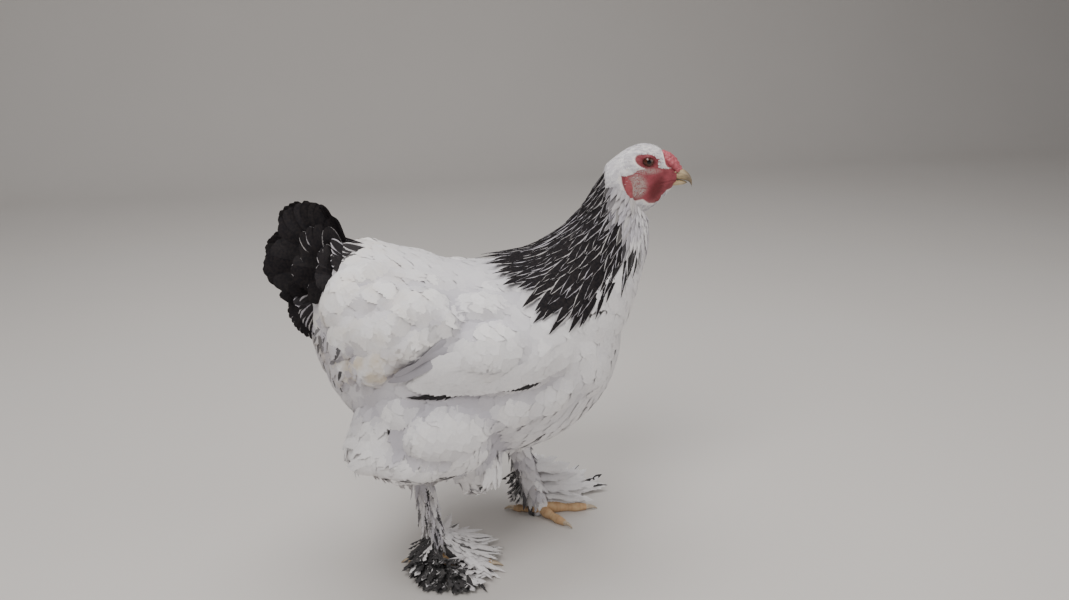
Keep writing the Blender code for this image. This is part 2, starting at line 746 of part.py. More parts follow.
def make_eyes(head):
    """Eyeballs set into the head, with lids as a raised rim on the head."""
    eyes = []
    for side_name, side in (("left", 1), ("right", -1)):
        centre = (EYE_CENTRE[0], side * EYE_CENTRE[1], EYE_CENTRE[2])
        eye = ball(f"eye_{side_name}", centre, (EYE_RADIUS,) * 3, EYE, 12, 7, in_head)
        eyes.append(eye)
    rims = []
    for side in (1, -1):
        c, s = oval(LID_POINTS)
        ring = np.stack([
            EYE_CENTRE[0] + LID_HALF_LENGTH * c,
            np.full(LID_POINTS, side * (EYE_CENTRE[1] + LID_OUT)),
            EYE_CENTRE[2] + LID_HALF_HEIGHT * s], axis=1)
        rims.append(ring_tube(f"rim {side}", in_head(ring), LID_RADIUS, WHITE))
    joined(head, rims)
    cutters = [grown(eye) for eye in eyes]
    cut(head, cutters)
    return cutters


def ring_tube(name, centres, radius, kind, sides=5):
    """A closed ring of round section through centres."""
    count = len(centres)
    middle = centres.mean(axis=0)
    c, s = oval(sides)
    verts, faces = [], []
    for k in range(count):
        tangent = centres[(k + 1) % count] - centres[k - 1]
        tangent /= np.linalg.norm(tangent)
        out = centres[k] - middle
        out -= tangent * (out @ tangent)
        out /= np.linalg.norm(out)
        lift = np.cross(tangent, out)
        verts += list(centres[k] + radius * (np.outer(c, out) + np.outer(s, lift)))
    for k in range(count):
        for side in range(sides):
            a, b = k * sides + side, k * sides + (side + 1) % sides
            after_a, after_b = (a + sides) % (count * sides), (b + sides) % (count * sides)
            faces += [(a, b, after_b), (a, after_b, after_a)]
    return solid(name, verts, faces, kind)


def beside_torso(x, z, side, lift):
    """The place beside the torso at this lift off its gap, for a place in side view."""
    return np.array([x, side * (torso_half_width(x, z) + GAP + lift), z])


def wing_vane(side, root, tip, lifts, width, sag):
    """A wing feather that follows the torso's side, with its lower edge rolled outwards."""
    places = np.array(WING_STEPS)
    xs = root[0] + places * (tip[0] - root[0])
    zs = root[1] + places * (tip[1] - root[1]) - sag * np.sin(places * math.pi)
    rises = np.interp(places, (0.0, 0.55, 1.0), lifts)
    spine = np.array([beside_torso(x, z, side, rise) for x, z, rise in zip(xs, zs, rises)])
    below = np.array([beside_torso(x, z - width / 2, side, rise) for x, z, rise in zip(xs, zs, rises)])
    along = unit(np.gradient(spine, axis=0))
    down = unit(below - spine)
    out = unit(np.cross(along, down))
    out *= np.sign(out[:, 1:2]) * side
    widths = width * np.array(WING_FEATHER_WIDTHS)
    return vane(spine, unit(down + WING_ROLL * out), out, widths, WING_FEATHER_THICKNESS)


def make_wing(side_name, side, cutters):
    """A folded wing: a thin core with flight feathers and two rows of coverts."""
    rings = []
    for x, low, high, thick in smooth_rows(WING_SECTIONS, 2):
        shares = np.linspace(0, 1, WING_SIDES)
        swell = thick * np.sin(math.pi * (0.14 + 0.72 * shares)) ** 0.8
        zs = low + shares * (high - low)
        outer = [beside_torso(x, z, side, rise) for z, rise in zip(zs, swell)]
        inner = [beside_torso(x, z, side, WING_INNER) for z in zs[::-1]]
        rings.append(outer + inner)
    ends = [beside_torso(x, z, side, WING_END_LIFT) for x, z in (WING_BACK, SHOULDER)]
    wing = loft(f"wing_{side_name}", rings, ends, WHITE)
    rng = np.random.default_rng(11)
    pieces = []
    for count, low_root, low_tip, high_root, high_tip, lifts, width, sag in WING_ROWS:
        for k in range(count):
            share = k / (count - 1)
            root = np.array(low_root) + share * (np.array(high_root) - low_root)
            tip = np.array(low_tip) + share * (np.array(high_tip) - low_tip)
            tip[0] += rng.uniform(-0.002, 0.002)
            pieces.append(wing_vane(side, root, tip, lifts, spread(rng, width, 0.04), sag))
    joined(wing, pieces)
    return cut(wing, cutters)


def fan_direction(rise, splay, side):
    rise, splay = math.radians(rise), math.radians(splay)
    level = math.cos(rise)
    return np.array([-level * math.cos(splay), side * level * math.sin(splay), math.sin(rise)])


def fan(side, count, rises, splays, lengths, root, width, roll, rng):
    """Feathers from one root, each a step lower and further out than the one before."""
    made = []
    for k in range(count):
        share = k / (count - 1)
        rise, splay, length = (np.interp(share, (0, 1), pair) for pair in (rises, splays, lengths))
        step_rise, step_splay = (rises[1] - rises[0]) / count, (splays[1] - splays[0]) / count
        direction = fan_direction(rise, splay, side)
        down = unit(fan_direction(rise + step_rise, splay + step_splay, side) - direction)
        down = down + np.array([0.0, side * TAIL_ROOF * max(rise, 0.0) / rises[0], 0.0]) * (rises[0] > 0)
        place = np.array([root[0], side * root[1], root[2]])
        made.append(straight_vane(place, direction, down, spread(rng, length, 0.02), width,
                                  roll * (-1 if side > 0 else 1), BLACK))
    return made


def make_tail(cutters):
    """A short upright fan of seven pairs of feathers, with coverts over its sides and under it."""
    c, s = oval(TAIL_STUB_SIDES)
    rings = [np.stack([np.full(TAIL_STUB_SIDES, x), half * c, z + rise * s], axis=1)
             for x, z, half, rise in smooth_rows(TAIL_STUB, 2)]
    tail = loft("tail", rings, TAIL_STUB_ENDS, BLACK)
    pieces = [ball("under tail", UNDER_TAIL, UNDER_TAIL_SIZE, BLACK, 14, 8)]
    rng = np.random.default_rng(17)
    for side in (1, -1):
        pieces += fan(side, TAIL_PAIRS, TAIL_RISE, TAIL_SPLAY, TAIL_LENGTH, TAIL_ROOT, TAIL_WIDTH,
                      TAIL_ROLL, rng)
        for count, rises, splays, lengths, root, width in COVERTS:
            pieces += fan(side, count, rises, splays, lengths, root, width, TAIL_ROLL, rng)
    joined(tail, pieces)
    return cut(tail, cutters)


def fringe(name):
    """Wide soft locks that hang from near the thigh's widest level, all round, past its lower end."""
    sections = smooth_rows(THIGHS[name][::-1], 4)
    start = FRINGE_START[name]
    level = start - 0.25 * FRINGE_LENGTH
    x, y, rx, ry = (np.interp(level, sections[:, 0], sections[:, k]) for k in (1, 2, 3, 4))
    outs = np.array(FRINGE_OUTS)
    rng = np.random.default_rng(23)
    made = []
    for k in range(FRINGE_COUNT):
        turn = 2 * math.pi * (k + rng.uniform(-0.08, 0.08)) / FRINGE_COUNT
        length = spread(rng, FRINGE_LENGTH, 0.12)
        heights = start + FRINGE_STAGGER * (-1) ** k - length * np.array(FRINGE_STEPS)
        spine = np.stack([x + rx * outs * math.cos(turn), y + ry * outs * math.sin(turn), heights], axis=1)
        around = np.array([-rx * math.sin(turn), ry * math.cos(turn), 0.0])
        spacing = np.linalg.norm(around) * 2 * math.pi / FRINGE_COUNT
        across = np.tile(unit(around), (len(spine), 1))
        out = unit(np.cross(across, np.gradient(spine, axis=0)))
        made.append(vane(spine, across, out, spacing * np.array(FRINGE_FILL), FRINGE_THICKNESS))
    return made


def shank_vanes(hock, joint, side, extra):
    """Feathers in tiers down the shank's sides, each pointing down and a little out."""
    axis = unit(joint - hock)
    outward = unit(np.cross(axis, (1.0, 0.0, 0.0)))
    outward *= np.sign(outward[1]) * side
    ahead = unit(np.cross(outward, axis)) * side
    ahead *= np.sign(ahead[0])
    rng = np.random.default_rng(29)
    made = []
    for place in SHANK_TIERS:
        for angle in (*SHANK_ANGLES, *extra):
            turn = math.radians(angle + rng.uniform(-8, 8))
            away = math.cos(turn) * outward + math.sin(turn) * ahead
            sideways = np.cross(axis, away)
            root = hock + (joint - hock) * place + away * SHANK_FEATHER_ROOT
            direction = unit(axis + SHANK_FEATHER_OUT * away)
            length = spread(rng, SHANK_FEATHER_LENGTH, 0.1)
            made.append(straight_vane(root, direction, sideways, length, SHANK_FEATHER_WIDTH))
    return made


def make_legs(torso_cutter):
    """Thigh, shank, foot, claws and foot feathers of each leg."""
    floor = floor_cutter()
    thigh_cutters = []
    for name, leg in LEGS.items():
        c, s = oval(THIGH_SIDES)
        rings = [np.stack([x + rx * c, y + ry * s, np.full(THIGH_SIDES, z)], axis=1)
                 for z, x, y, rx, ry in smooth_rows(THIGHS[name], 2)]
        top, low = THIGHS[name][0], THIGHS[name][-1]
        poles = ((top[1], top[2], top[0] + THIGH_TOP_RISE), (low[1], low[2], low[0] - THIGH_LOW_DROP))
        thigh = loft(f"thigh_{name}", rings, poles, WHITE)
        joined(thigh, fringe(name))
        cut(thigh, [torso_cutter])
        thigh_cutter = grown(thigh)
        thigh_cutters.append(thigh_cutter)

        hock = np.array([*leg["hock"], HOCK_HEIGHT + SHANK_START])
        joint = np.array([*leg["foot"], FOOT_JOINT_HEIGHT])
        shares = np.linspace(0, 1, 6)[:, None]
        shank = tube(f"shank_{name}", hock + shares * (joint - hock),
                     np.interp(shares[:, 0], (0, 1), SHANK_RADIUS), WHITE, SHANK_SIDES, up=(0.0, 1.0, 0.0))
        joined(shank, shank_vanes(hock, joint, leg["side"], leg["extra"]))
        cut(shank, [thigh_cutter])
        make_foot(name, leg, joint, grown(shank), floor)
    return thigh_cutters


def make_foot(name, leg, joint, shank_cutter, floor):
    pad = ball(f"foot_{name}", (joint[0], joint[1], PAD_CENTRE_HEIGHT),
               (PAD_RADIUS, PAD_RADIUS, PAD_HALF_HEIGHT), YELLOW, 12, 7)
    toes, claws = [], []
    for toe_name, angle, length, root_radius, tip_radius, claw_length in TOES:
        heading = math.radians(leg["heading"] + leg["side"] * angle)
        ahead = np.array([math.cos(heading), math.sin(heading), 0.0])
        shares = np.linspace(0, 1, 6)
        knuckles = 1 + TOE_KNUCKLES * np.cos(shares * 2.5 * 2 * math.pi)
        radii = (root_radius + shares * (tip_radius - root_radius)) * knuckles
        heights = radii * TOE_FLATNESS + TOE_ROOT_RISE * (1 - shares) ** 3
        points = joint * (1, 1, 0) + np.outer(shares * length, ahead)
        points[:, 2] = heights
        toes.append(tube(f"toe {toe_name}", points, radii, YELLOW, TOE_SIDES))
        end = points[-1] + ahead * (tip_radius * 0.1)
        claw_shares = np.linspace(0, 1, 3)
        claw_points = end + np.outer(claw_shares * claw_length, ahead)
        arch = CLAW_ARCH * np.sin(claw_shares * math.pi)
        claw_points[:, 2] = CLAW_HEIGHT + arch - CLAW_FALL * claw_shares
        claw_radii = CLAW_RADIUS * (1 - CLAW_TAPER * claw_shares)
        claws.append(tube(f"claw_{name}_{toe_name}", claw_points, claw_radii, HORN, CLAW_SIDES))
    joined(pad, toes)
    cut(pad, [shank_cutter, floor])
    foot_cutter = grown(pad)
    for claw in claws:
        cut(claw, [foot_cutter, floor])
    claw_cutters = [grown(claw) for claw in claws]
    make_foot_feathers(name, leg, joint, [foot_cutter, shank_cutter, floor, *claw_cutters])


def make_foot_feathers(name, leg, joint, cutters):
    """A ridge beside the shank's end and the outer toe, with two tiers of long feathers that fan from it."""
    heading = math.radians(leg["heading"])
    ahead = np.array([math.cos(heading), math.sin(heading), 0.0])
    outward = leg["side"] * np.array([-math.sin(heading), math.cos(heading), 0.0])
    upright = np.array([0.0, 0.0, 1.0])
    base = joint * (1, 1, 0)
    ridge = smooth_rows([base + a * ahead + o * outward + z * upright for a, o, z in FOOT_RIDGE], 3)
    feathers = tube(f"foot_feathers_{name}", ridge, FOOT_RIDGE_RADIUS, WHITE, FOOT_RIDGE_SIDES,
                    up=tuple(ahead))
    places = np.linspace(0, 1, len(ridge))
    rng = np.random.default_rng(31)
    pieces = []
    for count, along, angles, lengths, tip_height in FOOT_FEATHERS[name]:
        for k in range(count):
            share = k / (count - 1)
            place, angle, length = (np.interp(share, (0, 1), pair) for pair in (along, angles, lengths))
            turn = math.radians(angle + rng.uniform(-3, 3))
            away = math.cos(turn) * ahead + math.sin(turn) * outward
            root = np.array([np.interp(place, places, ridge[:, axis]) for axis in range(3)])
            length = spread(rng, length, 0.05)
            direction = away * length + upright * (tip_height - root[2])
            sideways = leg["side"] * np.cross(away, upright)
            pieces.append(straight_vane(root, direction, sideways, length, FOOT_FEATHER_WIDTH,
                                        FOOT_FEATHER_ROLL, shares=FOOT_FEATHER_SHARES))
    joined(feathers, pieces)
    cut(feathers, cutters)


def main():
    clear_scene()
    torso = make_torso()
    torso_cutter = grown(torso)
    head = make_head()
    eye_cutters = make_eyes(head)
    head_cutter = grown(head)
    upper, lower = make_beak(head_cutter)
    make_comb([head_cutter, grown(upper)])
    flap_cutters = make_face_flaps(head_cutter)
    make_neck([torso_cutter, head_cutter, *flap_cutters])
    thigh_cutters = make_legs(torso_cutter)
    cape = cape_cutter()
    for side_name, side in (("left", 1), ("right", -1)):
        make_wing(side_name, side, [torso_cutter, cape, *thigh_cutters])
    make_tail([torso_cutter])
    remove_cutters()


main()
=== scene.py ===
"""The looks of a light brahma hen: skin, plumage, face, feet and studio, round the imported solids.

Metres, +X towards the breast, +Y the bird's left, +Z up. The origin is on the floor, below the bird's middle.
"""

import math
from itertools import product

import bpy
import numpy as np
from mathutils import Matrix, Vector, noise
from mathutils.bvhtree import BVHTree


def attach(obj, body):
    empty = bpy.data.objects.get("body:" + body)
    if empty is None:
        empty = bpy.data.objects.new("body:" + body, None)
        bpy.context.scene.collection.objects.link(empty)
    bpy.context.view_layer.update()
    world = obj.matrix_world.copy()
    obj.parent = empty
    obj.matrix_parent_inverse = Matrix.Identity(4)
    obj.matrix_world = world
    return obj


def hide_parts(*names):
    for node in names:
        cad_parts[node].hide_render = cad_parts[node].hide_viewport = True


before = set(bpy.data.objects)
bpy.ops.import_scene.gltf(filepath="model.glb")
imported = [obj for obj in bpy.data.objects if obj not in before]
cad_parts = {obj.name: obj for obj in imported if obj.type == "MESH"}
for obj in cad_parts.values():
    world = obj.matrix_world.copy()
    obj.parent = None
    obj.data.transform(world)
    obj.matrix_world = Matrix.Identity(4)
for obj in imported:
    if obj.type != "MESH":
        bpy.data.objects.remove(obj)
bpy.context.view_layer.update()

# Camera: where it stands, which way it looks, its lens and its sensor in millimetres
CAMERA_PLACE = (-0.1504, -0.817, 0.573)
CAMERA_AIM = (0.2282, 0.9152, -0.3322)
CAMERA_LENS = 29.63
SENSOR_WIDTH = 36.0

# Torso: x, top, bottom and half width of each upright section, from the rump to the breast
TORSO_SECTIONS = (
    (-0.164, 0.300, 0.246, 0.032),
    (-0.150, 0.328, 0.209, 0.056),
    (-0.130, 0.344, 0.180, 0.075),
    (-0.100, 0.344, 0.157, 0.090),
    (-0.060, 0.332, 0.146, 0.096),
    (-0.020, 0.318, 0.134, 0.098),
    (0.020, 0.317, 0.127, 0.096),
    (0.060, 0.321, 0.133, 0.088),
    (0.095, 0.316, 0.152, 0.073),
    (0.122, 0.298, 0.178, 0.052),
    (0.138, 0.268, 0.209, 0.026),
)
RUMP_END = (-0.169, 0.0, 0.276)
BREAST_END = (0.1435, 0.0, 0.238)
TORSO_ROUNDNESS = 2.25

# Soft lobes of plumage on the body's sides: x and z, half length, half height, tilt in degrees and how far
# out they swell
LOBES = (
    (-0.156, 0.319, 0.011, 0.010, 10.0, 0.006),
    (-0.125, 0.332, 0.032, 0.013, 18.0, 0.0035),
    (-0.142, 0.307, 0.024, 0.021, 35.0, 0.008),
    (-0.134, 0.284, 0.026, 0.018, 25.0, 0.009),
    (-0.103, 0.3155, 0.024, 0.017, 20.0, 0.006),
    (-0.071, 0.304, 0.030, 0.021, 10.0, 0.009),
    (-0.107, 0.287, 0.027, 0.019, 20.0, 0.010),
    (-0.088, 0.300, 0.014, 0.012, 0.0, 0.011),
    (-0.114, 0.261, 0.026, 0.019, 40.0, 0.009),
    (-0.078, 0.277, 0.024, 0.013, 35.0, 0.0105),
    (-0.047, 0.290, 0.016, 0.012, 60.0, 0.009),
    (-0.014, 0.298, 0.032, 0.016, 0.0, 0.007),
    (-0.010, 0.264, 0.036, 0.025, 4.0, 0.0115),
    (0.040, 0.273, 0.026, 0.021, 20.0, 0.0045),
    (0.034, 0.250, 0.026, 0.018, 30.0, 0.0080),
    (0.002, 0.3090, 0.026, 0.012, 0.0, 0.0025),
    (-0.055, 0.3215, 0.032, 0.012, -15.0, 0.0025),
    (0.086, 0.240, 0.024, 0.026, 70.0, 0.0025),
    (0.098, 0.218, 0.026, 0.030, 60.0, 0.004),
    (0.050, 0.206, 0.034, 0.022, 20.0, 0.004),
    (-0.142, 0.250, 0.020, 0.018, 50.0, 0.005),
    (0.006, 0.196, 0.030, 0.022, 0.0, 0.004),
)
LOBE_DEPTH = 0.013
LOBE_SWELL = 1.25
LOBE_STEP = 0.002
# The same on the thighs' outer sides
THIGH_LOBES = {
    "right": (
        (-0.0975, 0.2120, 0.020, 0.017, 0.0, 0.007),
        (-0.052, 0.190, 0.042, 0.025, 5.0, 0.009),
        (-0.119, 0.190, 0.018, 0.018, 0.0, 0.005),
        (-0.120, 0.168, 0.020, 0.017, -20.0, 0.007),
        (-0.090, 0.157, 0.034, 0.014, -6.0, 0.007),
        (-0.038, 0.159, 0.028, 0.017, 10.0, 0.007),
    ),
    "left": (
        (-0.0495, 0.2120, 0.020, 0.017, 0.0, 0.007),
        (-0.004, 0.190, 0.040, 0.025, 5.0, 0.008),
        (-0.071, 0.190, 0.018, 0.018, 0.0, 0.005),
        (-0.066, 0.168, 0.020, 0.017, -20.0, 0.006),
        (-0.036, 0.156, 0.030, 0.014, -6.0, 0.006),
        (0.014, 0.157, 0.026, 0.017, 10.0, 0.006),
    ),
}
# Fluff that hangs between the legs, ahead of the right thigh: its centre and half sizes
HANGING_FLUFF = ((-0.022, -0.064, 0.137), (0.026, 0.025, 0.025))

# Hackle: the cape's collar under the head, its waist and its lower edge, by angle from the nape to the throat
CAPE_ANGLES = (0, 45, 90, 125, 155, 180)
CAPE_COLLAR = (
    (0.121, 0.000, 0.405),
    (0.131, 0.016, 0.397),
    (0.147, 0.022, 0.382),
    (0.158, 0.018, 0.371),
    (0.167, 0.010, 0.362),
    (0.171, 0.000, 0.358),
)
CAPE_WAIST = (
    (0.088, 0.000, 0.332),
    (0.100, 0.022, 0.332),
    (0.128, 0.034, 0.332),
    (0.150, 0.034, 0.330),
    (0.172, 0.020, 0.332),
    (0.179, 0.000, 0.334),
)
CAPE_EDGE = (
    (0.014, 0.000, 0.3220),
    (0.025, 0.052, 0.309),
    (0.060, 0.081, 0.276),
    (0.108, 0.064, 0.258),
    (0.139, 0.035, 0.252),
    (0.1475, 0.000, 0.250),
)
# The neck's ends, under the head and inside the torso
CAPE_TOP = (0.150, 0.0, 0.392)
CAPE_INNER_END = (0.080, 0.0, 0.270)
# The angles past which the hackle is white, and past which it is streaked
HACKLE_LIMIT = 166.0
STREAKED_LIMIT = 112.0

# Head: turned about the upright axis through HEAD_PIVOT. x ahead of the pivot, top, bottom and half width
HEAD_PIVOT = (0.1436, 0.0)
HEAD_YAW = math.radians(-16)
HEAD_SECTIONS = (
    (-0.016, 0.4100, 0.3720, 0.0170),
    (-0.006, 0.4185, 0.3640, 0.0190),
    (0.005, 0.4262, 0.3615, 0.0196),
    (0.018, 0.4305, 0.3625, 0.0188),
    (0.030, 0.4290, 0.3690, 0.0165),
    (0.040, 0.4225, 0.3790, 0.0132),
    (0.048, 0.4130, 0.3875, 0.0096),
    (0.0525, 0.4080, 0.3930, 0.0072),
)
HEAD_BACK = (-0.021, 0.0, 0.394)
HEAD_FRONT = (0.0535, 0.0, 0.4010)
HEAD_ROUNDNESS = 2.15
EYE_CENTRE = (0.0232, 0.0117, 0.4163)
EYE_FLAT = (EYE_CENTRE[0], EYE_CENTRE[2])
EYE_RADIUS = 0.0066
EYE_OPENING = (0.0053, 0.0039)
EYE_PATCH = (0.0132, 0.0070)
# The red skin at the comb's base in side view
COMB_PATCH = (
    (0.0372, 0.4262),
    (0.0410, 0.4262),
    (0.0570, 0.4080),
    (0.0430, 0.4094),
    (0.0402, 0.4130),
    (0.0386, 0.4200),
)

# The bare cheek in side view, ahead of and above the pivot, from the ear forward and round
CHEEK = (
    (-0.0035, 0.4072),
    (0.0020, 0.4030),
    (0.0080, 0.4045),
    (0.0130, 0.4085),
    (0.0230, 0.4105),
    (0.0340, 0.4120),
    (0.0405, 0.4090),
    (0.0440, 0.4090),
    (0.0540, 0.4100),
    (0.0540, 0.3900),
    (0.0430, 0.3870),
    (0.0370, 0.3800),
    (0.0320, 0.3740),
    (0.0255, 0.3745),
    (0.0190, 0.3795),
    (0.0120, 0.3780),
    (0.0055, 0.3785),
    (0.0020, 0.3860),
    (-0.0020, 0.3960),
)
PALE_PATCH = (0.0125, 0.3925, 0.0110, 0.0125)
UNDER_EYE_PATCH = (0.0235, 0.4072, 0.0150, 0.0040)
# The deep red from the corner of the mouth down: x, z, half length, half width and slope
DEEP_PATCH = (0.0325, 0.3900, 0.0165, 0.0078)
DEEP_SLOPE = math.radians(66)

# Beak: x ahead of the pivot, top, bottom and half width
UPPER_BEAK = (
    (0.0475, 0.4100, 0.3975, 0.0072),
    (0.0530, 0.4088, 0.3968, 0.0066),
    (0.0580, 0.4072, 0.3962, 0.0056),
    (0.0625, 0.4045, 0.3952, 0.0044),
    (0.0660, 0.4008, 0.3932, 0.0031),
    (0.0682, 0.3962, 0.3902, 0.0018),
)
UPPER_BEAK_TIP = (0.0687, 0.0, 0.3884)
LOWER_BEAK = (
    (0.0475, 0.3970, 0.3900, 0.0064),
    (0.0530, 0.3964, 0.3904, 0.0056),
    (0.0580, 0.3957, 0.3910, 0.0044),
    (0.0615, 0.3949, 0.3918, 0.0030),
)
LOWER_BEAK_TIP = (0.0640, 0.0, 0.3934)
NOSTRIL = (0.0525, 0.4036)

# Comb, ear lobes and wattles
COMB_START = (0.0388, 0.4238)
COMB_END = (0.0556, 0.4090)
COMB_ARCH = 0.0024
COMB_ROWS = ((-0.0066, 0.0050), (-0.0036, 0.0016), (0.0, 0.0), (0.0036, 0.0016), (0.0066, 0.0050))
COMB_BUMPS = 7
EARLOBE_CENTRE = (0.0050, 0.0178, 0.3890)
EARLOBE_SIZE = (0.0042, 0.0026, 0.0112)
WATTLE_CENTRE = (0.0325, 0.0084, 0.3830)
WATTLE_SIZE = (0.0056, 0.0025, 0.0080)

# Legs: x and y of the hock and the foot joint, and the heading of the middle toe
HOCK_HEIGHT = 0.120
FOOT_JOINT_HEIGHT = 0.021
LEGS = {
    "right": {"hock": (-0.073, -0.034), "foot": (-0.060, -0.025), "heading": -21.0, "side": -1},
    "left": {"hock": (0.036, 0.040), "foot": (0.0656, 0.041), "heading": -9.0, "side": 1},
}
SHANK_RADIUS = (0.0110, 0.0085)
# Thigh: height, then x and y of the centre and the two half widths of each level section
THIGHS = {
    "right": (
        (0.238, -0.060, -0.046, 0.040, 0.028),
        (0.215, -0.062, -0.052, 0.062, 0.041),
        (0.185, -0.066, -0.056, 0.073, 0.048),
        (0.161, -0.070, -0.057, 0.073, 0.048),
        (0.146, -0.072, -0.053, 0.060, 0.041),
        (0.131, -0.073, -0.046, 0.040, 0.030),
        (0.116, -0.073, -0.038, 0.021, 0.018),
    ),
    "left": (
        (0.238, -0.026, 0.046, 0.040, 0.028),
        (0.215, -0.024, 0.052, 0.060, 0.041),
        (0.185, -0.018, 0.055, 0.068, 0.0475),
        (0.158, -0.006, 0.054, 0.062, 0.0445),
        (0.136, 0.010, 0.050, 0.049, 0.036),
        (0.116, 0.026, 0.044, 0.034, 0.027),
        (0.098, 0.036, 0.041, 0.021, 0.018),
    ),
}

# Toes: name, angle from the middle toe away from the body, length, root and tip radius, claw length
TOES = (
    ("hind", 168.0, 0.026, 0.0052, 0.0036, 0.011),
    ("inner", -46.0, 0.042, 0.0062, 0.0040, 0.011),
    ("middle", 0.0, 0.058, 0.0068, 0.0042, 0.013),
    ("outer", 40.0, 0.045, 0.0062, 0.0040, 0.011),
)
SCUTE_LENGTH = 0.0034
FOOT_RIDGE = (
    (0.000, 0.012, 0.044),
    (0.001, 0.014, 0.030),
    (0.006, 0.018, 0.017),
    (0.017, 0.026, 0.0105),
    (0.029, 0.034, 0.0090),
)

# Wing, folded: x, lower edge, upper edge and thickness of each section of its core, from its tip to the
# shoulder
WING_SECTIONS = (
    (-0.084, 0.2500, 0.2560, 0.0012),
    (-0.070, 0.2370, 0.2700, 0.0028),
    (-0.045, 0.2310, 0.2860, 0.0052),
    (-0.010, 0.2270, 0.2960, 0.0070),
    (0.025, 0.2270, 0.2960, 0.0075),
    (0.050, 0.2330, 0.2880, 0.0062),
    (0.068, 0.2430, 0.2750, 0.0038),
    (0.078, 0.2560, 0.2610, 0.0012),
)

# How far the wing's inner side lies inside the torso
WING_SINK = 0.006

# Tail: x, height, half width and half height of each section of its stub, and the fluff under it
TAIL_STUB = (
    (-0.112, 0.314, 0.034, 0.024),
    (-0.135, 0.322, 0.030, 0.022),
    (-0.152, 0.330, 0.022, 0.018),
    (-0.166, 0.337, 0.011, 0.010),
)
UNDER_TAIL = (-0.146, 0.0, 0.300)
UNDER_TAIL_SIZE = (0.030, 0.028, 0.026)

# Depth of the coat over the skin, the least left of it where the coat thins out, and the remeshes' voxels
COAT_DEPTH = 0.0055
THIN_COAT_DEPTH = 0.0016
SKIN_VOXEL = 0.0030
GUIDE_VOXEL = 0.0028
BROAD_VOXEL = 0.0060


# Shapes

def unit(vectors):
    vectors = np.asarray(vectors, float)
    return vectors / np.maximum(np.linalg.norm(vectors, axis=-1, keepdims=True), 1e-12)


def between(pair, share):
    """What lies between the two of the pair, at this share of the way."""
    return pair[0] + share * (pair[1] - pair[0])


def flattened(vectors, normals):
    """Directions laid flat across the normals."""
    return unit(vectors - normals * (vectors * normals).sum(axis=1, keepdims=True))


def varied(rng, count, less, more=None):
    """Random factors from 1 - less to 1 + more, or to 1 + less if more isn't given."""
    return 1 + rng.uniform(-less, less if more is None else more, count)


def smooth_rows(rows, per_span):
    """Rows of numbers along a smooth curve through the given rows, with per_span steps between two."""
    rows = np.asarray(rows, float)
    ends = np.vstack([2 * rows[0] - rows[1], rows, 2 * rows[-1] - rows[-2]])
    made = []
    for i in range(1, len(rows)):
        before, start, end, after = ends[i - 1], ends[i], ends[i + 1], ends[i + 2]
        for step in range(per_span):
            t = step / per_span
            made.append(
                0.5 * (2 * start + (end - before) * t
                       + (2 * before - 5 * start + 4 * end - after) * t * t
                       + (3 * start - before - 3 * end + after) * t ** 3)
            )
    made.append(rows[-1])
    return np.array(made)


def oval(sides, roundness=2.0):
    """Cosines and sines round an oval, which roundness above 2 makes squarer."""
    turn = np.arange(sides) * 2 * math.pi / sides
    c, s = np.cos(turn), np.sin(turn)
    power = 2.0 / roundness
    return np.sign(c) * np.abs(c) ** power, np.sign(s) * np.abs(s) ** power


def loft(rings, poles):
    """Points and triangles of a closed skin over equal rings, with a pole beyond each end."""
    rings = np.asarray(rings, float)
    count, sides = rings.shape[:2]
    verts = np.vstack([rings.reshape(-1, 3), np.asarray(poles, float)])
    ring, side = np.meshgrid(np.arange(count - 1), np.arange(sides), indexing="ij")
    a = (ring * sides + side).ravel()
    b = (ring * sides + (side + 1) % sides).ravel()
    walls = np.vstack([np.stack([a, b, b + sides], 1), np.stack([a, b + sides, a + sides], 1)])
    one = np.arange(sides)
    two = (one + 1) % sides
    last = (count - 1) * sides
    first_cap = np.stack([two, one, np.full(sides, count * sides)], 1)
    last_cap = np.stack([last + one, last + two, np.full(sides, count * sides + 1)], 1)
    faces = np.vstack([walls, first_cap, last_cap])
    corners = verts[faces]
    volume = np.einsum("ij,ij->i", corners[:, 0], np.cross(corners[:, 1], corners[:, 2])).sum()
    return verts, faces if volume > 0 else faces[:, ::-1]


def upright_rings(sections, sides, roundness):
    """Rings across X from rows of x, top, bottom and half width."""
    c, s = oval(sides, roundness)
    rings = []
    for x, top, bottom, half in sections:
        middle = (top + bottom) / 2
        rings.append(np.stack([np.full(sides, x), half * c, middle + (top - bottom) / 2 * s], axis=1))
    return np.array(rings)


def ball(centre, size, sides=24, levels=14):
    c, s = oval(sides)
    rings = []
    for level in np.cos(np.arange(1, levels) * math.pi / levels):
        width = math.sqrt(1 - level * level)
        rings.append(np.stack([
            centre[0] + size[0] * width * c,
            centre[1] + size[1] * width * s,
            np.full(sides, centre[2] + size[2] * level)], axis=1))
    top = (centre[0], centre[1], centre[2] + size[2])
    low = (centre[0], centre[1], centre[2] - size[2])
    return loft(rings, (top, low))


def tube(points, radii, sides=16, up=(0.0, 0.0, 1.0)):
    """A round bar along points, closed by a point a little beyond each end."""
    points = np.asarray(points, float)
    radii = np.broadcast_to(np.asarray(radii, float), len(points))
    c, s = oval(sides)
    tangents = unit(np.gradient(points, axis=0))
    across = unit(np.cross(tangents, up))
    lift = np.cross(across, tangents)
    rings = points[:, None] + radii[:, None, None] * (
        c[None, :, None] * across[:, None] + s[None, :, None] * lift[:, None])
    poles = (points[0] - tangents[0] * radii[0] * 0.5, points[-1] + tangents[-1] * radii[-1] * 0.6)
    return loft(rings, poles)


def mirrored(shape):
    verts, faces = shape
    return verts * (1, -1, 1), faces[:, ::-1]


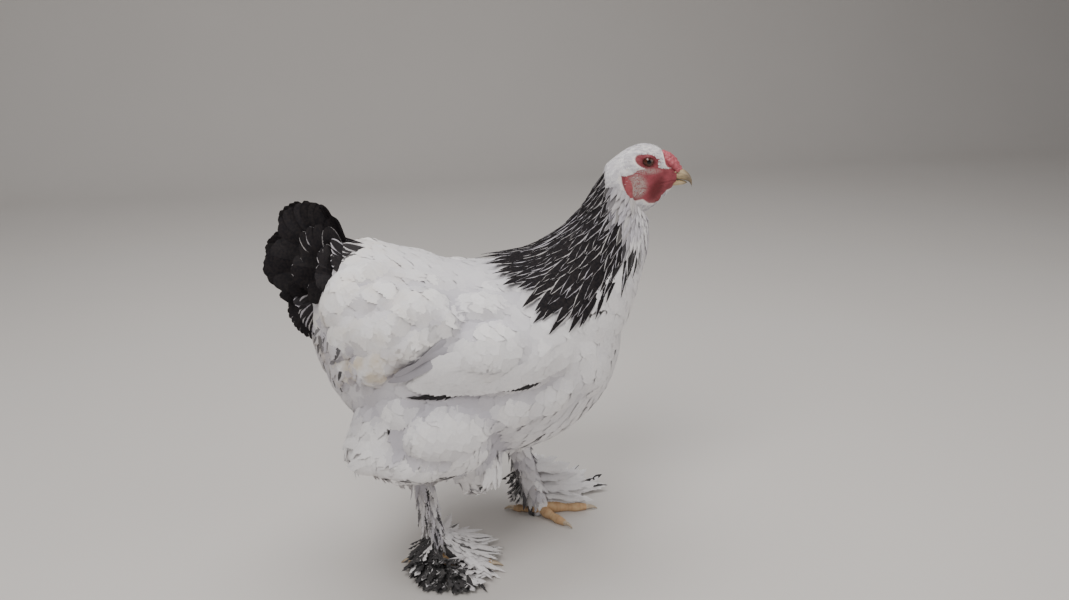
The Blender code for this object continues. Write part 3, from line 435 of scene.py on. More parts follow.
def merged(shapes):
    """Several shapes as one set of points and triangles."""
    verts, faces, start = [], [], 0
    for points, triangles in shapes:
        verts.append(points)
        faces.append(np.asarray(triangles) + start)
        start += len(points)
    return np.vstack(verts), np.vstack(faces)


def in_head(points):
    """Points ahead of, beside and above the head's pivot, set into the turned head."""
    points = np.atleast_2d(np.asarray(points, float))
    c, s = math.cos(HEAD_YAW), math.sin(HEAD_YAW)
    return np.stack([
        HEAD_PIVOT[0] + points[:, 0] * c - points[:, 1] * s,
        HEAD_PIVOT[1] + points[:, 0] * s + points[:, 1] * c,
        points[:, 2],
    ], axis=1)


def turn_in_head(vectors):
    c, s = math.cos(HEAD_YAW), math.sin(HEAD_YAW)
    return np.stack([
        vectors[:, 0] * c - vectors[:, 1] * s,
        vectors[:, 0] * s + vectors[:, 1] * c,
        vectors[:, 2],
    ], axis=1)


def head_shape(shape):
    return in_head(shape[0]), shape[1]


# Mesh objects

def mesh_object(name, verts, faces, material):
    """A mesh of triangles as an object of the scene."""
    verts = np.ascontiguousarray(verts, np.float32)
    faces = np.ascontiguousarray(faces, np.int32)
    mesh = bpy.data.meshes.new(name)
    mesh.vertices.add(len(verts))
    mesh.vertices.foreach_set("co", verts.ravel())
    mesh.loops.add(len(faces) * 3)
    mesh.loops.foreach_set("vertex_index", faces.ravel())
    mesh.polygons.add(len(faces))
    mesh.polygons.foreach_set("loop_start", np.arange(len(faces), dtype=np.int32) * 3)
    mesh.polygons.foreach_set("use_smooth", np.full(len(faces), True))
    mesh.update(calc_edges=True)
    mesh.validate()
    if material is not None:
        mesh.materials.append(material)
    obj = bpy.data.objects.new(name, mesh)
    bpy.context.scene.collection.objects.link(obj)
    return obj


def add_uv(mesh, name, points):
    """A UV map with one place per vertex."""
    loops = np.zeros(len(mesh.loops), np.int32)
    mesh.loops.foreach_get("vertex_index", loops)
    layer = mesh.uv_layers.new(name=name)
    layer.data.foreach_set("uv", np.ascontiguousarray(points[loops], np.float32).ravel())


def add_colours(mesh, name, colours):
    """A colour attribute with four numbers per vertex."""
    layer = mesh.color_attributes.new(name=name, type="FLOAT_COLOR", domain="POINT")
    layer.data.foreach_set("color", np.ascontiguousarray(colours, np.float32).ravel())


def evaluated_mesh(obj):
    graph = bpy.context.evaluated_depsgraph_get()
    return bpy.data.meshes.new_from_object(obj.evaluated_get(graph))


def mesh_arrays(mesh):
    """Vertices, triangles and vertex normals of a mesh."""
    mesh.calc_loop_triangles()
    verts = np.zeros(len(mesh.vertices) * 3, np.float32)
    mesh.vertices.foreach_get("co", verts)
    normals = np.zeros(len(mesh.vertices) * 3, np.float32)
    mesh.vertex_normals.foreach_get("vector", normals)
    faces = np.zeros(len(mesh.loop_triangles) * 3, np.int32)
    mesh.loop_triangles.foreach_get("vertices", faces)
    return verts.reshape(-1, 3).astype(float), faces.reshape(-1, 3), normals.reshape(-1, 3).astype(float)


def fused(obj, blanks):
    """Joins closed blanks to the object and removes them. Gives back the object's new mesh."""
    for blank in blanks:
        fuse = obj.modifiers.new("fuse", "BOOLEAN")
        fuse.operation = "UNION"
        fuse.object = blank
        fuse.solver = "MANIFOLD"
    mesh = evaluated_mesh(obj)
    obj.modifiers.clear()
    obj.data = mesh
    for blank in blanks:
        bpy.data.objects.remove(blank)
    return mesh


def remeshed(shape, voxel, smoothing):
    """One closed surface round overlapping shapes, as arrays."""
    obj = mesh_object("blank", *shape, None)
    remesh = obj.modifiers.new("remesh", "REMESH")
    remesh.mode = "VOXEL"
    remesh.voxel_size = voxel
    if smoothing:
        smooth = obj.modifiers.new("smooth", "SMOOTH")
        smooth.factor = 0.5
        smooth.iterations = smoothing
    mesh = evaluated_mesh(obj)
    arrays = mesh_arrays(mesh)
    bpy.data.objects.remove(obj)
    bpy.data.meshes.remove(mesh)
    return arrays


# The body's surface

def torso_half_width(x, z):
    """How far out the torso's side is at places in side view."""
    sections = smooth_rows(TORSO_SECTIONS, 8)
    top, bottom, half = (np.interp(x, sections[:, 0], sections[:, k]) for k in (1, 2, 3))
    level = np.clip(np.abs((z - (top + bottom) / 2) / ((top - bottom) / 2)), 0, 0.995)
    return half * (1 - level ** TORSO_ROUNDNESS) ** (1 / TORSO_ROUNDNESS)


def beside_torso(x, z, side, lift):
    return np.stack([x, side * (torso_half_width(x, z) + lift), z], axis=-1)


def cape_point(angle, share):
    """Points of the hackle's surface. Angles run from 0 at the nape to 180 at the throat, with the left
    positive, and shares from 0 at the collar to 1 at the lower edge."""
    angle, share = np.broadcast_arrays(np.asarray(angle, float), np.asarray(share, float))
    curves = []
    for rows in (CAPE_COLLAR, CAPE_WAIST, CAPE_EDGE):
        rows = smooth_rows(np.column_stack([CAPE_ANGLES, rows]), 6)
        places = [np.interp(np.abs(angle), rows[:, 0], rows[:, k]) for k in (1, 2, 3)]
        curves.append(np.stack(places, axis=-1))
    collar, waist, edge = curves
    share = share[..., None]
    point = (1 - share) ** 2 * collar + 2 * share * (1 - share) * waist + share ** 2 * edge
    side = np.where(angle < 0, -1.0, 1.0)
    point[..., 1] *= side
    return point


def cape_normal(angle, share):
    along = cape_point(angle, share + 0.02) - cape_point(angle, share - 0.02)
    ahead = cape_point(np.minimum(angle + 3.0, 180.0), share)
    behind = cape_point(np.maximum(angle - 3.0, -180.0), share)
    return unit(np.cross(ahead - behind, along))


def cape_shape():
    """The neck as a closed form, out to the cape's surface."""
    sides = 48
    angles = np.array([-180 + 360 * k / sides for k in range(sides)])
    rings = [cape_point(angles, share) for share in np.linspace(0.0, 1.0, 16)]
    low = np.array(CAPE_INNER_END)
    rings.append(0.45 * rings[-1] + 0.55 * low)
    return loft(rings, (CAPE_TOP, low))


def wing_shape(side):
    """The folded wing as a lens beside the torso."""
    rings = []
    shares = np.linspace(0, 1, 11)
    for x, low, high, thick in smooth_rows(WING_SECTIONS, 4):
        swell = thick * np.sin(math.pi * (0.10 + 0.80 * shares)) ** 0.8
        xs, zs = np.full(len(shares), x), between((low, high), shares)
        outer = beside_torso(xs, zs, side, swell)
        inner = beside_torso(xs, zs, side, -WING_SINK)[::-1]
        rings.append(np.vstack([outer, inner]))
    return loft(rings, (rings[0].mean(axis=0), rings[-1].mean(axis=0)))


def thigh_shape(name):
    sides = 40
    c, s = oval(sides)
    rows = smooth_rows(THIGHS[name], 5)
    rings = [np.stack([x + rx * c, y + ry * s, np.full(sides, z)], axis=1) for z, x, y, rx, ry in rows]
    top, low = THIGHS[name][0], THIGHS[name][-1]
    return loft(rings, ((top[1], top[2], top[0] + 0.005), (low[1], low[2], low[0] - 0.004)))


def leg_line(name):
    leg = LEGS[name]
    hock = np.array([*leg["hock"], HOCK_HEIGHT])
    joint = np.array([*leg["foot"], FOOT_JOINT_HEIGHT])
    return hock, joint


def shank_shape(name):
    hock, joint = leg_line(name)
    shares = np.linspace(0, 1, 10)
    low = joint - (0, 0, 0.006)
    radii = np.interp(shares, (0, 1), SHANK_RADIUS)
    return tube(between((hock, low), shares[:, None]), radii, 20, (0.0, 1.0, 0.0))


def thigh_half_width(name, x, z):
    """How far out the thigh's outer side is at places in side view."""
    rows = smooth_rows(THIGHS[name][::-1], 6)
    middle_x, middle_y, half_x, half_y = (np.interp(z, rows[:, 0], rows[:, k]) for k in (1, 2, 3, 4))
    level = np.clip(np.abs((x - middle_x) / half_x), 0, 0.97)
    return np.abs(middle_y) + half_y * np.sqrt(1 - level ** 2)


def side_lobe(surface, row):
    """A lens that swells from the left side of a surface."""
    x, z, length, height, tilt, rise = row
    xs = x + LOBE_STEP * np.array([0, 1, -1, 0, 0])
    zs = z + LOBE_STEP * np.array([0, 0, 0, 1, -1])
    y = surface(xs, zs)
    out = unit([y[2] - y[1], 2 * LOBE_STEP, y[4] - y[3]])
    along = np.array([math.cos(math.radians(tilt)), 0.0, math.sin(math.radians(tilt))])
    along = unit(along - out * (along @ out))
    verts, faces = ball((0, 0, 0), (1, 1, 1))
    axes = np.stack([along * length, out * LOBE_DEPTH, np.cross(along, out) * height])
    return np.array([x, y[0], z]) + (LOBE_SWELL * rise - LOBE_DEPTH) * out + verts @ axes, faces


def body_shapes():
    """The overlapping forms of the body, out to the tips of its plumage."""
    shapes = [
        loft(upright_rings(smooth_rows(TORSO_SECTIONS, 5), 64, TORSO_ROUNDNESS), (RUMP_END, BREAST_END)),
        ball(UNDER_TAIL, UNDER_TAIL_SIZE),
    ]
    sides = 24
    c, s = oval(sides)
    stub = [np.stack([np.full(sides, x), half * c, z + rise * s], axis=1)
            for x, z, half, rise in smooth_rows(TAIL_STUB, 4)]
    shapes.append(loft(stub, ((-0.108, 0, 0.312), (-0.170, 0, 0.339))))
    for row in LOBES:
        lobe = side_lobe(torso_half_width, row)
        shapes += [lobe, mirrored(lobe)]
    shapes += [wing_shape(1), wing_shape(-1)]
    for name, leg in LEGS.items():
        shapes.append(thigh_shape(name))
        for row in THIGH_LOBES[name]:
            lobe = side_lobe(lambda x, z, own=name: thigh_half_width(own, x, z), row)
            shapes.append(lobe if leg["side"] > 0 else mirrored(lobe))
    shapes += [ball(*HANGING_FLUFF), cape_shape()]
    return shapes


class Guide:
    def __init__(self, arrays):
        self.verts, self.faces, self.normals = arrays
        self.tree = BVHTree.FromPolygons(self.verts.tolist(), self.faces.tolist())

    def nearest(self, points):
        hits = [self.tree.find_nearest(point) for point in points.tolist()]
        places = np.array([hit[0] for hit in hits])
        faces = self.faces[[hit[2] for hit in hits]]
        corners = self.verts[faces]
        away = np.linalg.norm(corners - places[:, None], axis=2)
        weights = 1.0 / (away + 1e-5)
        normals = (self.normals[faces] * weights[..., None]).sum(axis=1)
        return places, unit(normals)

    def scatter(self, rng, spacing, keep):
        """Even random places on the surface, at a spacing that varies with the place."""
        corners = self.verts[self.faces]
        cross = np.cross(corners[:, 1] - corners[:, 0], corners[:, 2] - corners[:, 0])
        areas = np.linalg.norm(cross, axis=1) / 2
        centres = corners.mean(axis=1)
        areas = areas * keep(centres)
        count = int(3.0 * (areas / spacing(centres) ** 2).sum())
        weights = areas / spacing(centres) ** 2
        chosen = rng.choice(len(areas), count, p=weights / weights.sum())
        mix = rng.random((count, 2))
        flip = mix.sum(axis=1) > 1
        mix[flip] = 1 - mix[flip]
        found = corners[chosen]
        places = (found[:, 0] + mix[:, :1] * (found[:, 1] - found[:, 0])
                  + mix[:, 1:] * (found[:, 2] - found[:, 0]))
        return places[thinned(places, spacing(places))]


def thinned(places, spacings):
    """Which places stay when none may come nearer to an earlier one than its own spacing."""
    cell = float(spacings.max())
    grid, kept = {}, []
    keys = np.floor(places / cell).astype(int).tolist()
    squares = (spacings ** 2).tolist()
    for k, ((a, b, c), (x, y, z), limit) in enumerate(zip(keys, places.tolist(), squares)):
        crowded = any(
            (p - x) ** 2 + (q - y) ** 2 + (r - z) ** 2 < limit
            for near in product((a - 1, a, a + 1), (b - 1, b, b + 1), (c - 1, c, c + 1))
            for p, q, r in grid.get(near, ()))
        if not crowded:
            grid.setdefault((a, b, c), []).append((x, y, z))
            kept.append(k)
    return kept


# Feathers

def round_outline(t):
    """Half width along a broad feather with a rounded tip."""
    base = 0.60 + 0.40 * np.sin(np.clip(t / 0.60, 0, 1) * math.pi / 2)
    tip = np.sqrt(np.clip(1 - ((np.clip(t, 0.60, 1) - 0.60) / 0.40) ** 2, 0, 1))
    return base * tip


def lance_outline(t):
    """Half width along a narrow feather with a drawn-out point."""
    base = 0.55 + 0.45 * np.sin(np.clip(t / 0.45, 0, 1) * math.pi / 2)
    tip = 1 - (np.clip(t - 0.45, 0, 1) / 0.55) ** 1.7
    return base * tip


def quill_outline(t):
    """Half width along a flight or tail feather with a blunt, rounded tip."""
    base = 0.72 + 0.28 * np.sin(np.clip(t / 0.5, 0, 1) * math.pi / 2)
    tip = np.sqrt(np.clip(1 - ((np.clip(t, 0.76, 1) - 0.76) / 0.24) ** 2, 0, 1))
    return base * tip


# Triangles of three-sided bars: the first end and length, and what follows it in a wedge and in a shaft
BAR_FACES = ((0, 1, 2), (0, 3, 4), (0, 4, 1), (1, 4, 5), (1, 5, 2), (2, 5, 3), (2, 3, 0))
WEDGE_FACES = BAR_FACES + ((3, 6, 4), (4, 6, 5), (5, 6, 3))
SHAFT_FACES = BAR_FACES + (
    (3, 6, 7), (3, 7, 4), (4, 7, 8), (4, 8, 5), (5, 8, 6), (5, 6, 3), (6, 9, 7), (7, 9, 8), (8, 9, 6))


def turned_out(points, faces):
    """The closed form's triangles, turned so that they face out."""
    corners = np.asarray(points)[np.asarray(faces)]
    volume = np.einsum("ij,ij->i", corners[:, 0], np.cross(corners[:, 1], corners[:, 2])).sum()
    return [face if volume > 0 else face[::-1] for face in faces]


def wedge(base, tip, along, base_half, mid_half, cut, height):
    """A clump of barbs: a three-sided bar from the shaft, whole as far as cut, then tapering to a point."""
    axis = tip - base
    reach = np.linalg.norm(axis)
    over = np.array([-axis[1], axis[0]]) / max(reach, 1e-6)
    over = over * (1.0 if over @ along >= 0 else -1.0)
    bend = base + cut * axis - 0.06 * reach * over
    points = []
    for place, direction, half in ((base, along, base_half), (bend, over, mid_half)):
        for off, lift in ((-half, 0.0), (half, 0.0), (0.0, height)):
            points.append((*(place + direction * off), lift))
    points.append((*tip, 0.35 * height))
    return points, turned_out(points, WEDGE_FACES)


def quill(half, taper):
    """The shaft: a three-sided bar along the feather's middle."""
    points = []
    for place, wide in ((0.0, half), (0.35, half), (0.80, half * taper)):
        points += [(place, -wide, -0.2), (place, wide, -0.2), (place, 0.0, 1.5)]
    points.append((0.94, 0.0, 0.8))
    return points, turned_out(points, SHAFT_FACES)


def feather_shape(points, faces, outline, aspect):
    """A feather's triangles, and how far along, across and up its points lie, and how near its own edge."""
    across = points[:, 1] / aspect
    share = across / np.maximum(outline(np.clip(points[:, 0], 0, 0.985)), 0.12)
    return {"along": points[:, 0], "across": across, "height": points[:, 2],
            "edge": np.clip(share, -1, 1), "faces": faces}


def template(rng, outline, aspect, clumps, start=0.30, cut=0.6, ragged=0.12, closeness=1.15, shaft=0.10):
    """A feather of unit length: barbs in closed tapering clumps on both sides of a shaft.

    aspect is the half width as a share of the length, start where the clumps begin and shaft the shaft's half
    width as a share of the feather's."""
    line = np.linspace(start, 1.0, 200)
    edge = np.stack([line, outline(line) * aspect], axis=1)
    length = np.concatenate([[0], np.cumsum(np.linalg.norm(np.diff(edge, axis=0), axis=1))])
    spacing = length[-1] / clumps
    first_root = start * 0.55
    root_step = (0.93 - first_root) / clumps
    forms = [quill(shaft * aspect, 0.55)]
    for side in (1, -1):
        for k in range(clumps):
            place = (k + 0.5) / clumps * length[-1]
            tip = np.array([np.interp(place, length, edge[:, 0]), np.interp(place, length, edge[:, 1])])
            base = np.array([min(first_root + root_step * (k + 0.5), tip[0] - 0.02), 0.0])
            tip = base + (tip - base) * (1 + ragged * rng.uniform(-1.0, 0.6))
            tip[1] *= side
            height = rng.uniform(0.6, 1.1)
            forms.append(wedge(base, tip, np.array([1.0, 0.0]), 0.65 * root_step, 0.5 * spacing * closeness,
                               cut, height))
    end = np.array([1.0 + ragged * 0.3, 0.0])
    forms.append(wedge(np.array([0.86, 0.0]), end, np.array([0.0, 1.0]), 0.03, 0.45 * spacing, cut, 0.9))
    rows, faces = merged([(np.array(points), np.array(triangles)) for points, triangles in forms])
    return feather_shape(rows, faces, outline, aspect)


# Places round a web's section: share of the half width and height, from one edge over the top to the other
WEB_COLUMNS = (
    (-1.0, 0.0), (-0.55, 0.9), (0.0, 1.5), (0.55, 0.9), (1.0, 0.0), (0.55, -0.5), (0.0, -0.7), (-0.55, -0.5))
WEB_EDGES = (0, 4)


def web(rng, outline, aspect, rows, splits=2, notch=0.25, ragged=0.03):
    """A feather of unit length with closed, whole webs, notched where its barbs have parted."""
    t = 1 - (1 - np.linspace(0.0, 1.0, rows + 1)[:-1]) ** 1.35
    columns = np.array(WEB_COLUMNS)
    rings = np.zeros((rows, len(columns), 3))
    sweep = 0.035 * np.clip((1 - t) / 0.4, 0, 1) * (t > 0.05)
    rings[:, :, 0] = t[:, None] + sweep[:, None] * np.abs(columns[None, :, 0])
    rings[:, :, 1] = columns[None, :, 0] * outline(t)[:, None] * aspect
    rings[:, :, 2] = columns[None, :, 1]
    for column in WEB_EDGES:
        rings[:, column, 1] *= 1 + ragged * rng.uniform(-1, 1, rows)
        for row in rng.choice(np.arange(rows // 3, rows), splits, replace=False):
            rings[row, column, 1] *= 1 - notch
    verts, faces = loft(rings, ((-0.01, 0.0, 0.0), (1.0, 0.0, 0.0)))
    return feather_shape(verts, faces, outline, aspect)


def stations_weights(t, stations):
    """How much of each station's value a place along the feather takes."""
    t = np.clip(t, stations[0], None)
    index = np.clip(np.searchsorted(stations, t, side="right") - 1, 0, len(stations) - 2)
    share = (t - stations[index]) / (stations[index + 1] - stations[index])
    weights = np.zeros((len(t), len(stations)))
    weights[np.arange(len(t)), index] = 1 - share
    weights[np.arange(len(t)), index + 1] = share
    return weights


def soft_normals(verts, faces, soft, share):
    """A normal for each triangle's corner: its own, mixed with the coat's, which is turned over on the
    feathers' undersides."""
    corners = verts[faces]
    cross = np.cross(corners[:, 1] - corners[:, 0], corners[:, 2] - corners[:, 0])
    above = (cross * soft[faces[:, 0]]).sum(axis=1) > 0
    normals = np.zeros((len(faces), 3, 3))
    for chosen, sign in ((above, 1.0), (~above, -1.0)):
        own = faces[chosen]
        total = np.zeros_like(verts)
        for corner in range(3):
            np.add.at(total, own[:, corner], cross[chosen])
        normals[chosen] = unit(unit(total[own]) * (1 - share) + sign * soft[own] * share)
    return normals.reshape(-1, 3)


FEATHER_THICKNESS = 0.00030
# How wide each feather's patch is on the unwrap
BAKE_PATCH = 0.0030


class Coat:
    """Feathers gathered into one mesh."""

    def __init__(self, name, softness=0.0):
        self.name, self.softness = name, softness
        self.parts = {key: [] for key in ("verts", "faces", "soft", "vane", "bake", "mark")}
        self.count = 0

    def add(self, shape, stations, spines, sides, normals, widths, marks, bake, camber=0.10,
            thickness=FEATHER_THICKNESS, falls=None):
        """Adds one feather per spine. Spines, sides, normals and the falls at both edges are given at the
        stations."""
        weights = stations_weights(shape["along"], stations)
        points = np.einsum("ms,nsd->nmd", weights, spines)
        across = unit(np.einsum("ms,nsd->nmd", weights, sides))
        up = unit(np.einsum("ms,nsd->nmd", weights, normals))
        u = shape["across"][None, :, None]
        half = (widths / 2)[:, None, None]
        if falls is None:
            fall = camber * 2 * half
        else:
            both = np.einsum("ms,nse->nme", weights, falls)
            fall = np.where(shape["across"] > 0, both[..., 1], both[..., 0])[..., None]
        lift = thickness * shape["height"][None, :, None] - fall * u ** 2
        points = points + across * u * half + up * lift
        amount, rows = points.shape[:2]
        start = self.count + np.arange(amount)[:, None, None] * rows
        self.parts["verts"].append(points.reshape(-1, 3))
        self.parts["faces"].append((shape["faces"][None] + start).reshape(-1, 3))
        self.parts["soft"].append(up.reshape(-1, 3))
        vane = np.stack([(shape["edge"] + 1) / 2, np.clip(shape["along"], 0, 1)], axis=1)
        self.parts["vane"].append(np.tile(vane, (amount, 1)))
        patch = BAKE_PATCH * (vane - 0.5)
        self.parts["bake"].append((bake[:, None] + patch[None]).reshape(-1, 2))
        self.parts["mark"].append(np.repeat(marks, rows, axis=0))
        self.count += amount * rows

    def finish(self, material, replaced, floor=None):
        """Makes the coat's object, kept above the floor's height if one is given."""
        data = {key: np.concatenate(value) for key, value in self.parts.items()}
        if floor is not None:
            data["verts"][:, 2] = np.maximum(data["verts"][:, 2], floor)
        obj = mesh_object(self.name, data["verts"], data["faces"], material)
        mesh = obj.data
        add_uv(mesh, "OFBake", np.clip(data["bake"], 0.001, 0.999))
        add_uv(mesh, "vane", data["vane"])
        add_colours(mesh, "mark", data["mark"])
        mesh.normals_split_custom_set(soft_normals(data["verts"], data["faces"], data["soft"], self.softness))
        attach(obj, "root")
        if replaced:
            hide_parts(*replaced)


# Materials

def new_material(name, roughness, sheen=0.0, specular=0.5, coat=0.0):
    material = bpy.data.materials.new(name)
    material.use_nodes = True
    shader = material.node_tree.nodes["Principled BSDF"]
    shader.inputs["Roughness"].default_value = roughness
    shader.inputs["Sheen Weight"].default_value = sheen
    shader.inputs["Sheen Roughness"].default_value = 0.5
    shader.inputs["Specular IOR Level"].default_value = specular
    shader.inputs["Coat Weight"].default_value = coat
    return material


class Nodes:
    """Short calls that add nodes to a material."""

    def __init__(self, material):
        self.tree = material.node_tree
        self.shader = self.tree.nodes["Principled BSDF"]

    def add(self, kind, **settings):
        node = self.tree.nodes.new(kind)
        for key, value in settings.items():
            setattr(node, key, value)
        return node

    def set(self, socket, value):
        if isinstance(value, bpy.types.NodeSocket):
            self.tree.links.new(value, socket)
        else:
            socket.default_value = value

    def math(self, operation, one, two=0.0, three=0.0, clamp=False):
        node = self.add("ShaderNodeMath", operation=operation, use_clamp=clamp)
        for socket, value in zip(node.inputs, (one, two, three)):
            self.set(socket, value)
        return node.outputs[0]

    def step(self, value, low, high):
        """A smooth step from 0 at low to 1 at high."""
        node = self.add("ShaderNodeMapRange", interpolation_type="SMOOTHSTEP")
        self.set(node.inputs["Value"], value)
        self.set(node.inputs["From Min"], low)
        self.set(node.inputs["From Max"], high)
        return node.outputs[0]

    def mix(self, share, one, two):
        node = self.add("ShaderNodeMix", data_type="RGBA")
        self.set(node.inputs[0], share)
        self.set(node.inputs[6], one)
        self.set(node.inputs[7], two)
        return node.outputs[2]

    def place(self):
        return self.add("ShaderNodeTexCoord").outputs["Object"]

    def noise(self, scale, detail=3.0, where=None, roughness=0.5):
        node = self.add("ShaderNodeTexNoise")
        self.set(node.inputs["Vector"], where or self.place())
        self.set(node.inputs["Scale"], scale)
        self.set(node.inputs["Detail"], detail)
        self.set(node.inputs["Roughness"], roughness)
        return node.outputs["Fac"]

    def pimples(self, scale):
        node = self.add("ShaderNodeTexVoronoi", feature="SMOOTH_F1")
        self.set(node.inputs["Vector"], self.place())
        self.set(node.inputs["Scale"], scale)
        return node.outputs["Distance"]

    def attribute(self, name):
        node = self.add("ShaderNodeAttribute", attribute_name=name)
        split = self.add("ShaderNodeSeparateColor")
        self.tree.links.new(node.outputs["Color"], split.inputs[0])
        return split.outputs[0], split.outputs[1], split.outputs[2], node.outputs["Alpha"]

    def bump(self, height, strength, distance):
        node = self.add("ShaderNodeBump")
        self.set(node.inputs["Height"], height)
        node.inputs["Strength"].default_value = strength
        node.inputs["Distance"].default_value = distance
        self.tree.links.new(node.outputs[0], self.shader.inputs["Normal"])

    def colour(self, value):
        self.set(self.shader.inputs["Base Color"], value)


WHITE = (0.88, 0.865, 0.865, 1.0)
# Lavender grey: random tone, the wing band's own grey, and painted shade in the hollows between lobes
GREY_TONE_AND_PAINTED_SHADE = (0.46, 0.44, 0.495, 1.0)
CREAM = (0.72, 0.62, 0.46, 1.0)
EDGE_GREY = (0.50, 0.48, 0.47, 1.0)
BLACK = (0.010, 0.009, 0.011, 1.0)
SOFT_BLACK = (0.020, 0.0165, 0.0170, 1.0)
BARB_LINES = 46.0
# How wide the change from a feather's dark core to its pale lacing is, as a share of its half width
LACE_BLUR = 0.07


def plumage_material(name, roughness=0.85, sheen=0.15, specular=0.20, web=WHITE):
    """Feathers: pale webs, a dark core as far out as the mark says, and fine barbs as relief."""
    material = new_material(name, roughness, sheen, specular)
    n = Nodes(material)
    dark, reach, stain, chance = n.attribute("mark")
    vane = n.add("ShaderNodeUVMap", uv_map="vane").outputs[0]
    split = n.add("ShaderNodeSeparateXYZ")
    n.set(split.inputs[0], vane)
    across = n.math("ABSOLUTE", n.math("MULTIPLY_ADD", split.outputs[0], 2.0, -1.0))
    along = split.outputs[1]
    wobble = n.math("MULTIPLY_ADD", n.noise(900.0, 2.0), 0.20, -0.10)
    edge = n.math("ADD", across, wobble)
    lace = n.step(edge, n.math("SUBTRACT", reach, LACE_BLUR), n.math("ADD", reach, LACE_BLUR))
    inside = n.math("SUBTRACT", 1.0, lace)
    core = n.math("MULTIPLY", dark, inside)
    speckle = n.step(n.noise(420.0, 3.0), 0.35, 0.65)
    white = n.mix(n.math("MULTIPLY", speckle, 0.10), web, GREY_TONE_AND_PAINTED_SHADE)
    white = n.mix(n.math("MULTIPLY", stain, n.step(n.noise(60.0, 3.0), 0.30, 0.70)), white, CREAM)
    # The chance greys the white: painted shade between the body's lobes, and the feather's own grey elsewhere
    white = n.mix(n.math("MULTIPLY", chance, 0.80), white, GREY_TONE_AND_PAINTED_SHADE)
    black = n.mix(speckle, BLACK, SOFT_BLACK)
    colour = n.mix(core, white, black)
    lines = n.math("SINE", n.math("MULTIPLY", n.math("SUBTRACT", along, n.math("MULTIPLY", across, 0.35)),
                                  BARB_LINES * 2 * math.pi))
    barbs = n.math("MULTIPLY_ADD", lines, 0.5, 0.5)
    colour = n.mix(n.math("MULTIPLY", barbs, 0.04), colour, BLACK)
    n.colour(colour)
    n.bump(barbs, 0.30, 0.0002)
    return material


FACE_RED = (0.310, 0.058, 0.074, 1.0)
DEEP_RED = (0.135, 0.014, 0.019, 1.0)
PALE_PINK = (0.41, 0.315, 0.290, 1.0)
SKIN_WHITE = (0.80, 0.76, 0.73, 1.0)
# Light and deep colours of flesh, horn, toes, iris and floor
COMB_REDS = ((0.46, 0.100, 0.125, 1.0), (0.32, 0.055, 0.070, 1.0))
EARLOBE_REDS = ((0.38, 0.085, 0.095, 1.0), (0.25, 0.040, 0.048, 1.0))
WATTLE_REDS = ((0.26, 0.045, 0.052, 1.0), (0.16, 0.022, 0.028, 1.0))
BEAK_HORN = ((0.50, 0.39, 0.23, 1.0), (0.12, 0.085, 0.055, 1.0))
CLAW_HORN = ((0.66, 0.55, 0.40, 1.0), (0.20, 0.14, 0.10, 1.0))
TOE_YELLOWS = ((0.62, 0.43, 0.24, 1.0), (0.56, 0.34, 0.18, 1.0))
TOE_SEAM = (0.25, 0.12, 0.06, 1.0)
TOE_UNDERSIDE = (0.35, 0.22, 0.13, 1.0)
IRIS_BROWNS = ((0.050, 0.012, 0.008, 1.0), (0.095, 0.024, 0.012, 1.0))
IRIS_RIM = (0.045, 0.016, 0.012, 1.0)
PUPIL_BLACK = (0.003, 0.003, 0.003, 1.0)
FLOOR_GREYS = ((0.60, 0.575, 0.55, 1.0), (0.63, 0.605, 0.58, 1.0))


def skin_material():
    """Skin under the coat, and the bare red face, by the face mark: bare, deep and pale shares."""
    material = new_material("skin", 0.60, 0.0, 0.4)
    n = Nodes(material)
    bare, deep, pale, dark = n.attribute("face")
    grain = n.noise(700.0, 4.0)
    blotch = n.step(n.noise(170.0, 3.0), 0.35, 0.70)
    red = n.mix(n.math("MULTIPLY", blotch, 0.45), FACE_RED, DEEP_RED)
    # The deep share: deep red skin, and painted shade round the eye
    red = n.mix(deep, red, DEEP_RED)
    red = n.mix(n.math("MULTIPLY", pale, n.step(grain, 0.25, 0.60)), red, PALE_PINK)
    coat = n.mix(dark, SKIN_WHITE, SOFT_BLACK)
    n.colour(n.mix(bare, coat, red))
    n.bump(n.math("ADD", n.math("MULTIPLY", n.pimples(900.0), -0.7), grain), 0.8, 0.0006)
    return material


def flesh_material(name, reds, scale=900.0):
    """Comb, wattles and ear lobes: red flesh with a pimpled grain."""
    material = new_material(name, 0.48, 0.0, 0.5)
    n = Nodes(material)
    grain = n.noise(scale, 4.0)
    blotch = n.step(n.noise(260.0, 3.0), 0.35, 0.65)
    n.colour(n.mix(n.math("MULTIPLY", blotch, 0.6), *reds))
    relief = n.math("MULTIPLY", n.pimples(scale), -1.0)
    n.bump(n.math("ADD", relief, n.math("MULTIPLY", grain, 0.4)), 0.8, 0.0006)
    return material


def horn_material(name, colours, tip_share):
    """Beak and claws: streaked horn, darker where the shade mark says."""
    light, dark = colours
    material = new_material(name, 0.35, 0.0, 0.5)
    n = Nodes(material)
    shade = n.attribute("shade")[0]
    stretch = n.add("ShaderNodeMapping")
    n.set(stretch.inputs["Vector"], n.place())
    stretch.inputs["Scale"].default_value = (120.0, 700.0, 500.0)
    streaks = n.noise(1.0, 3.0, stretch.outputs[0])
    body = n.mix(n.math("MULTIPLY", n.step(streaks, 0.40, 0.75), 0.5), light, dark)
    n.colour(n.mix(n.math("MULTIPLY", shade, tip_share), body, dark))
    n.bump(streaks, 0.35, 0.0004)
    return material


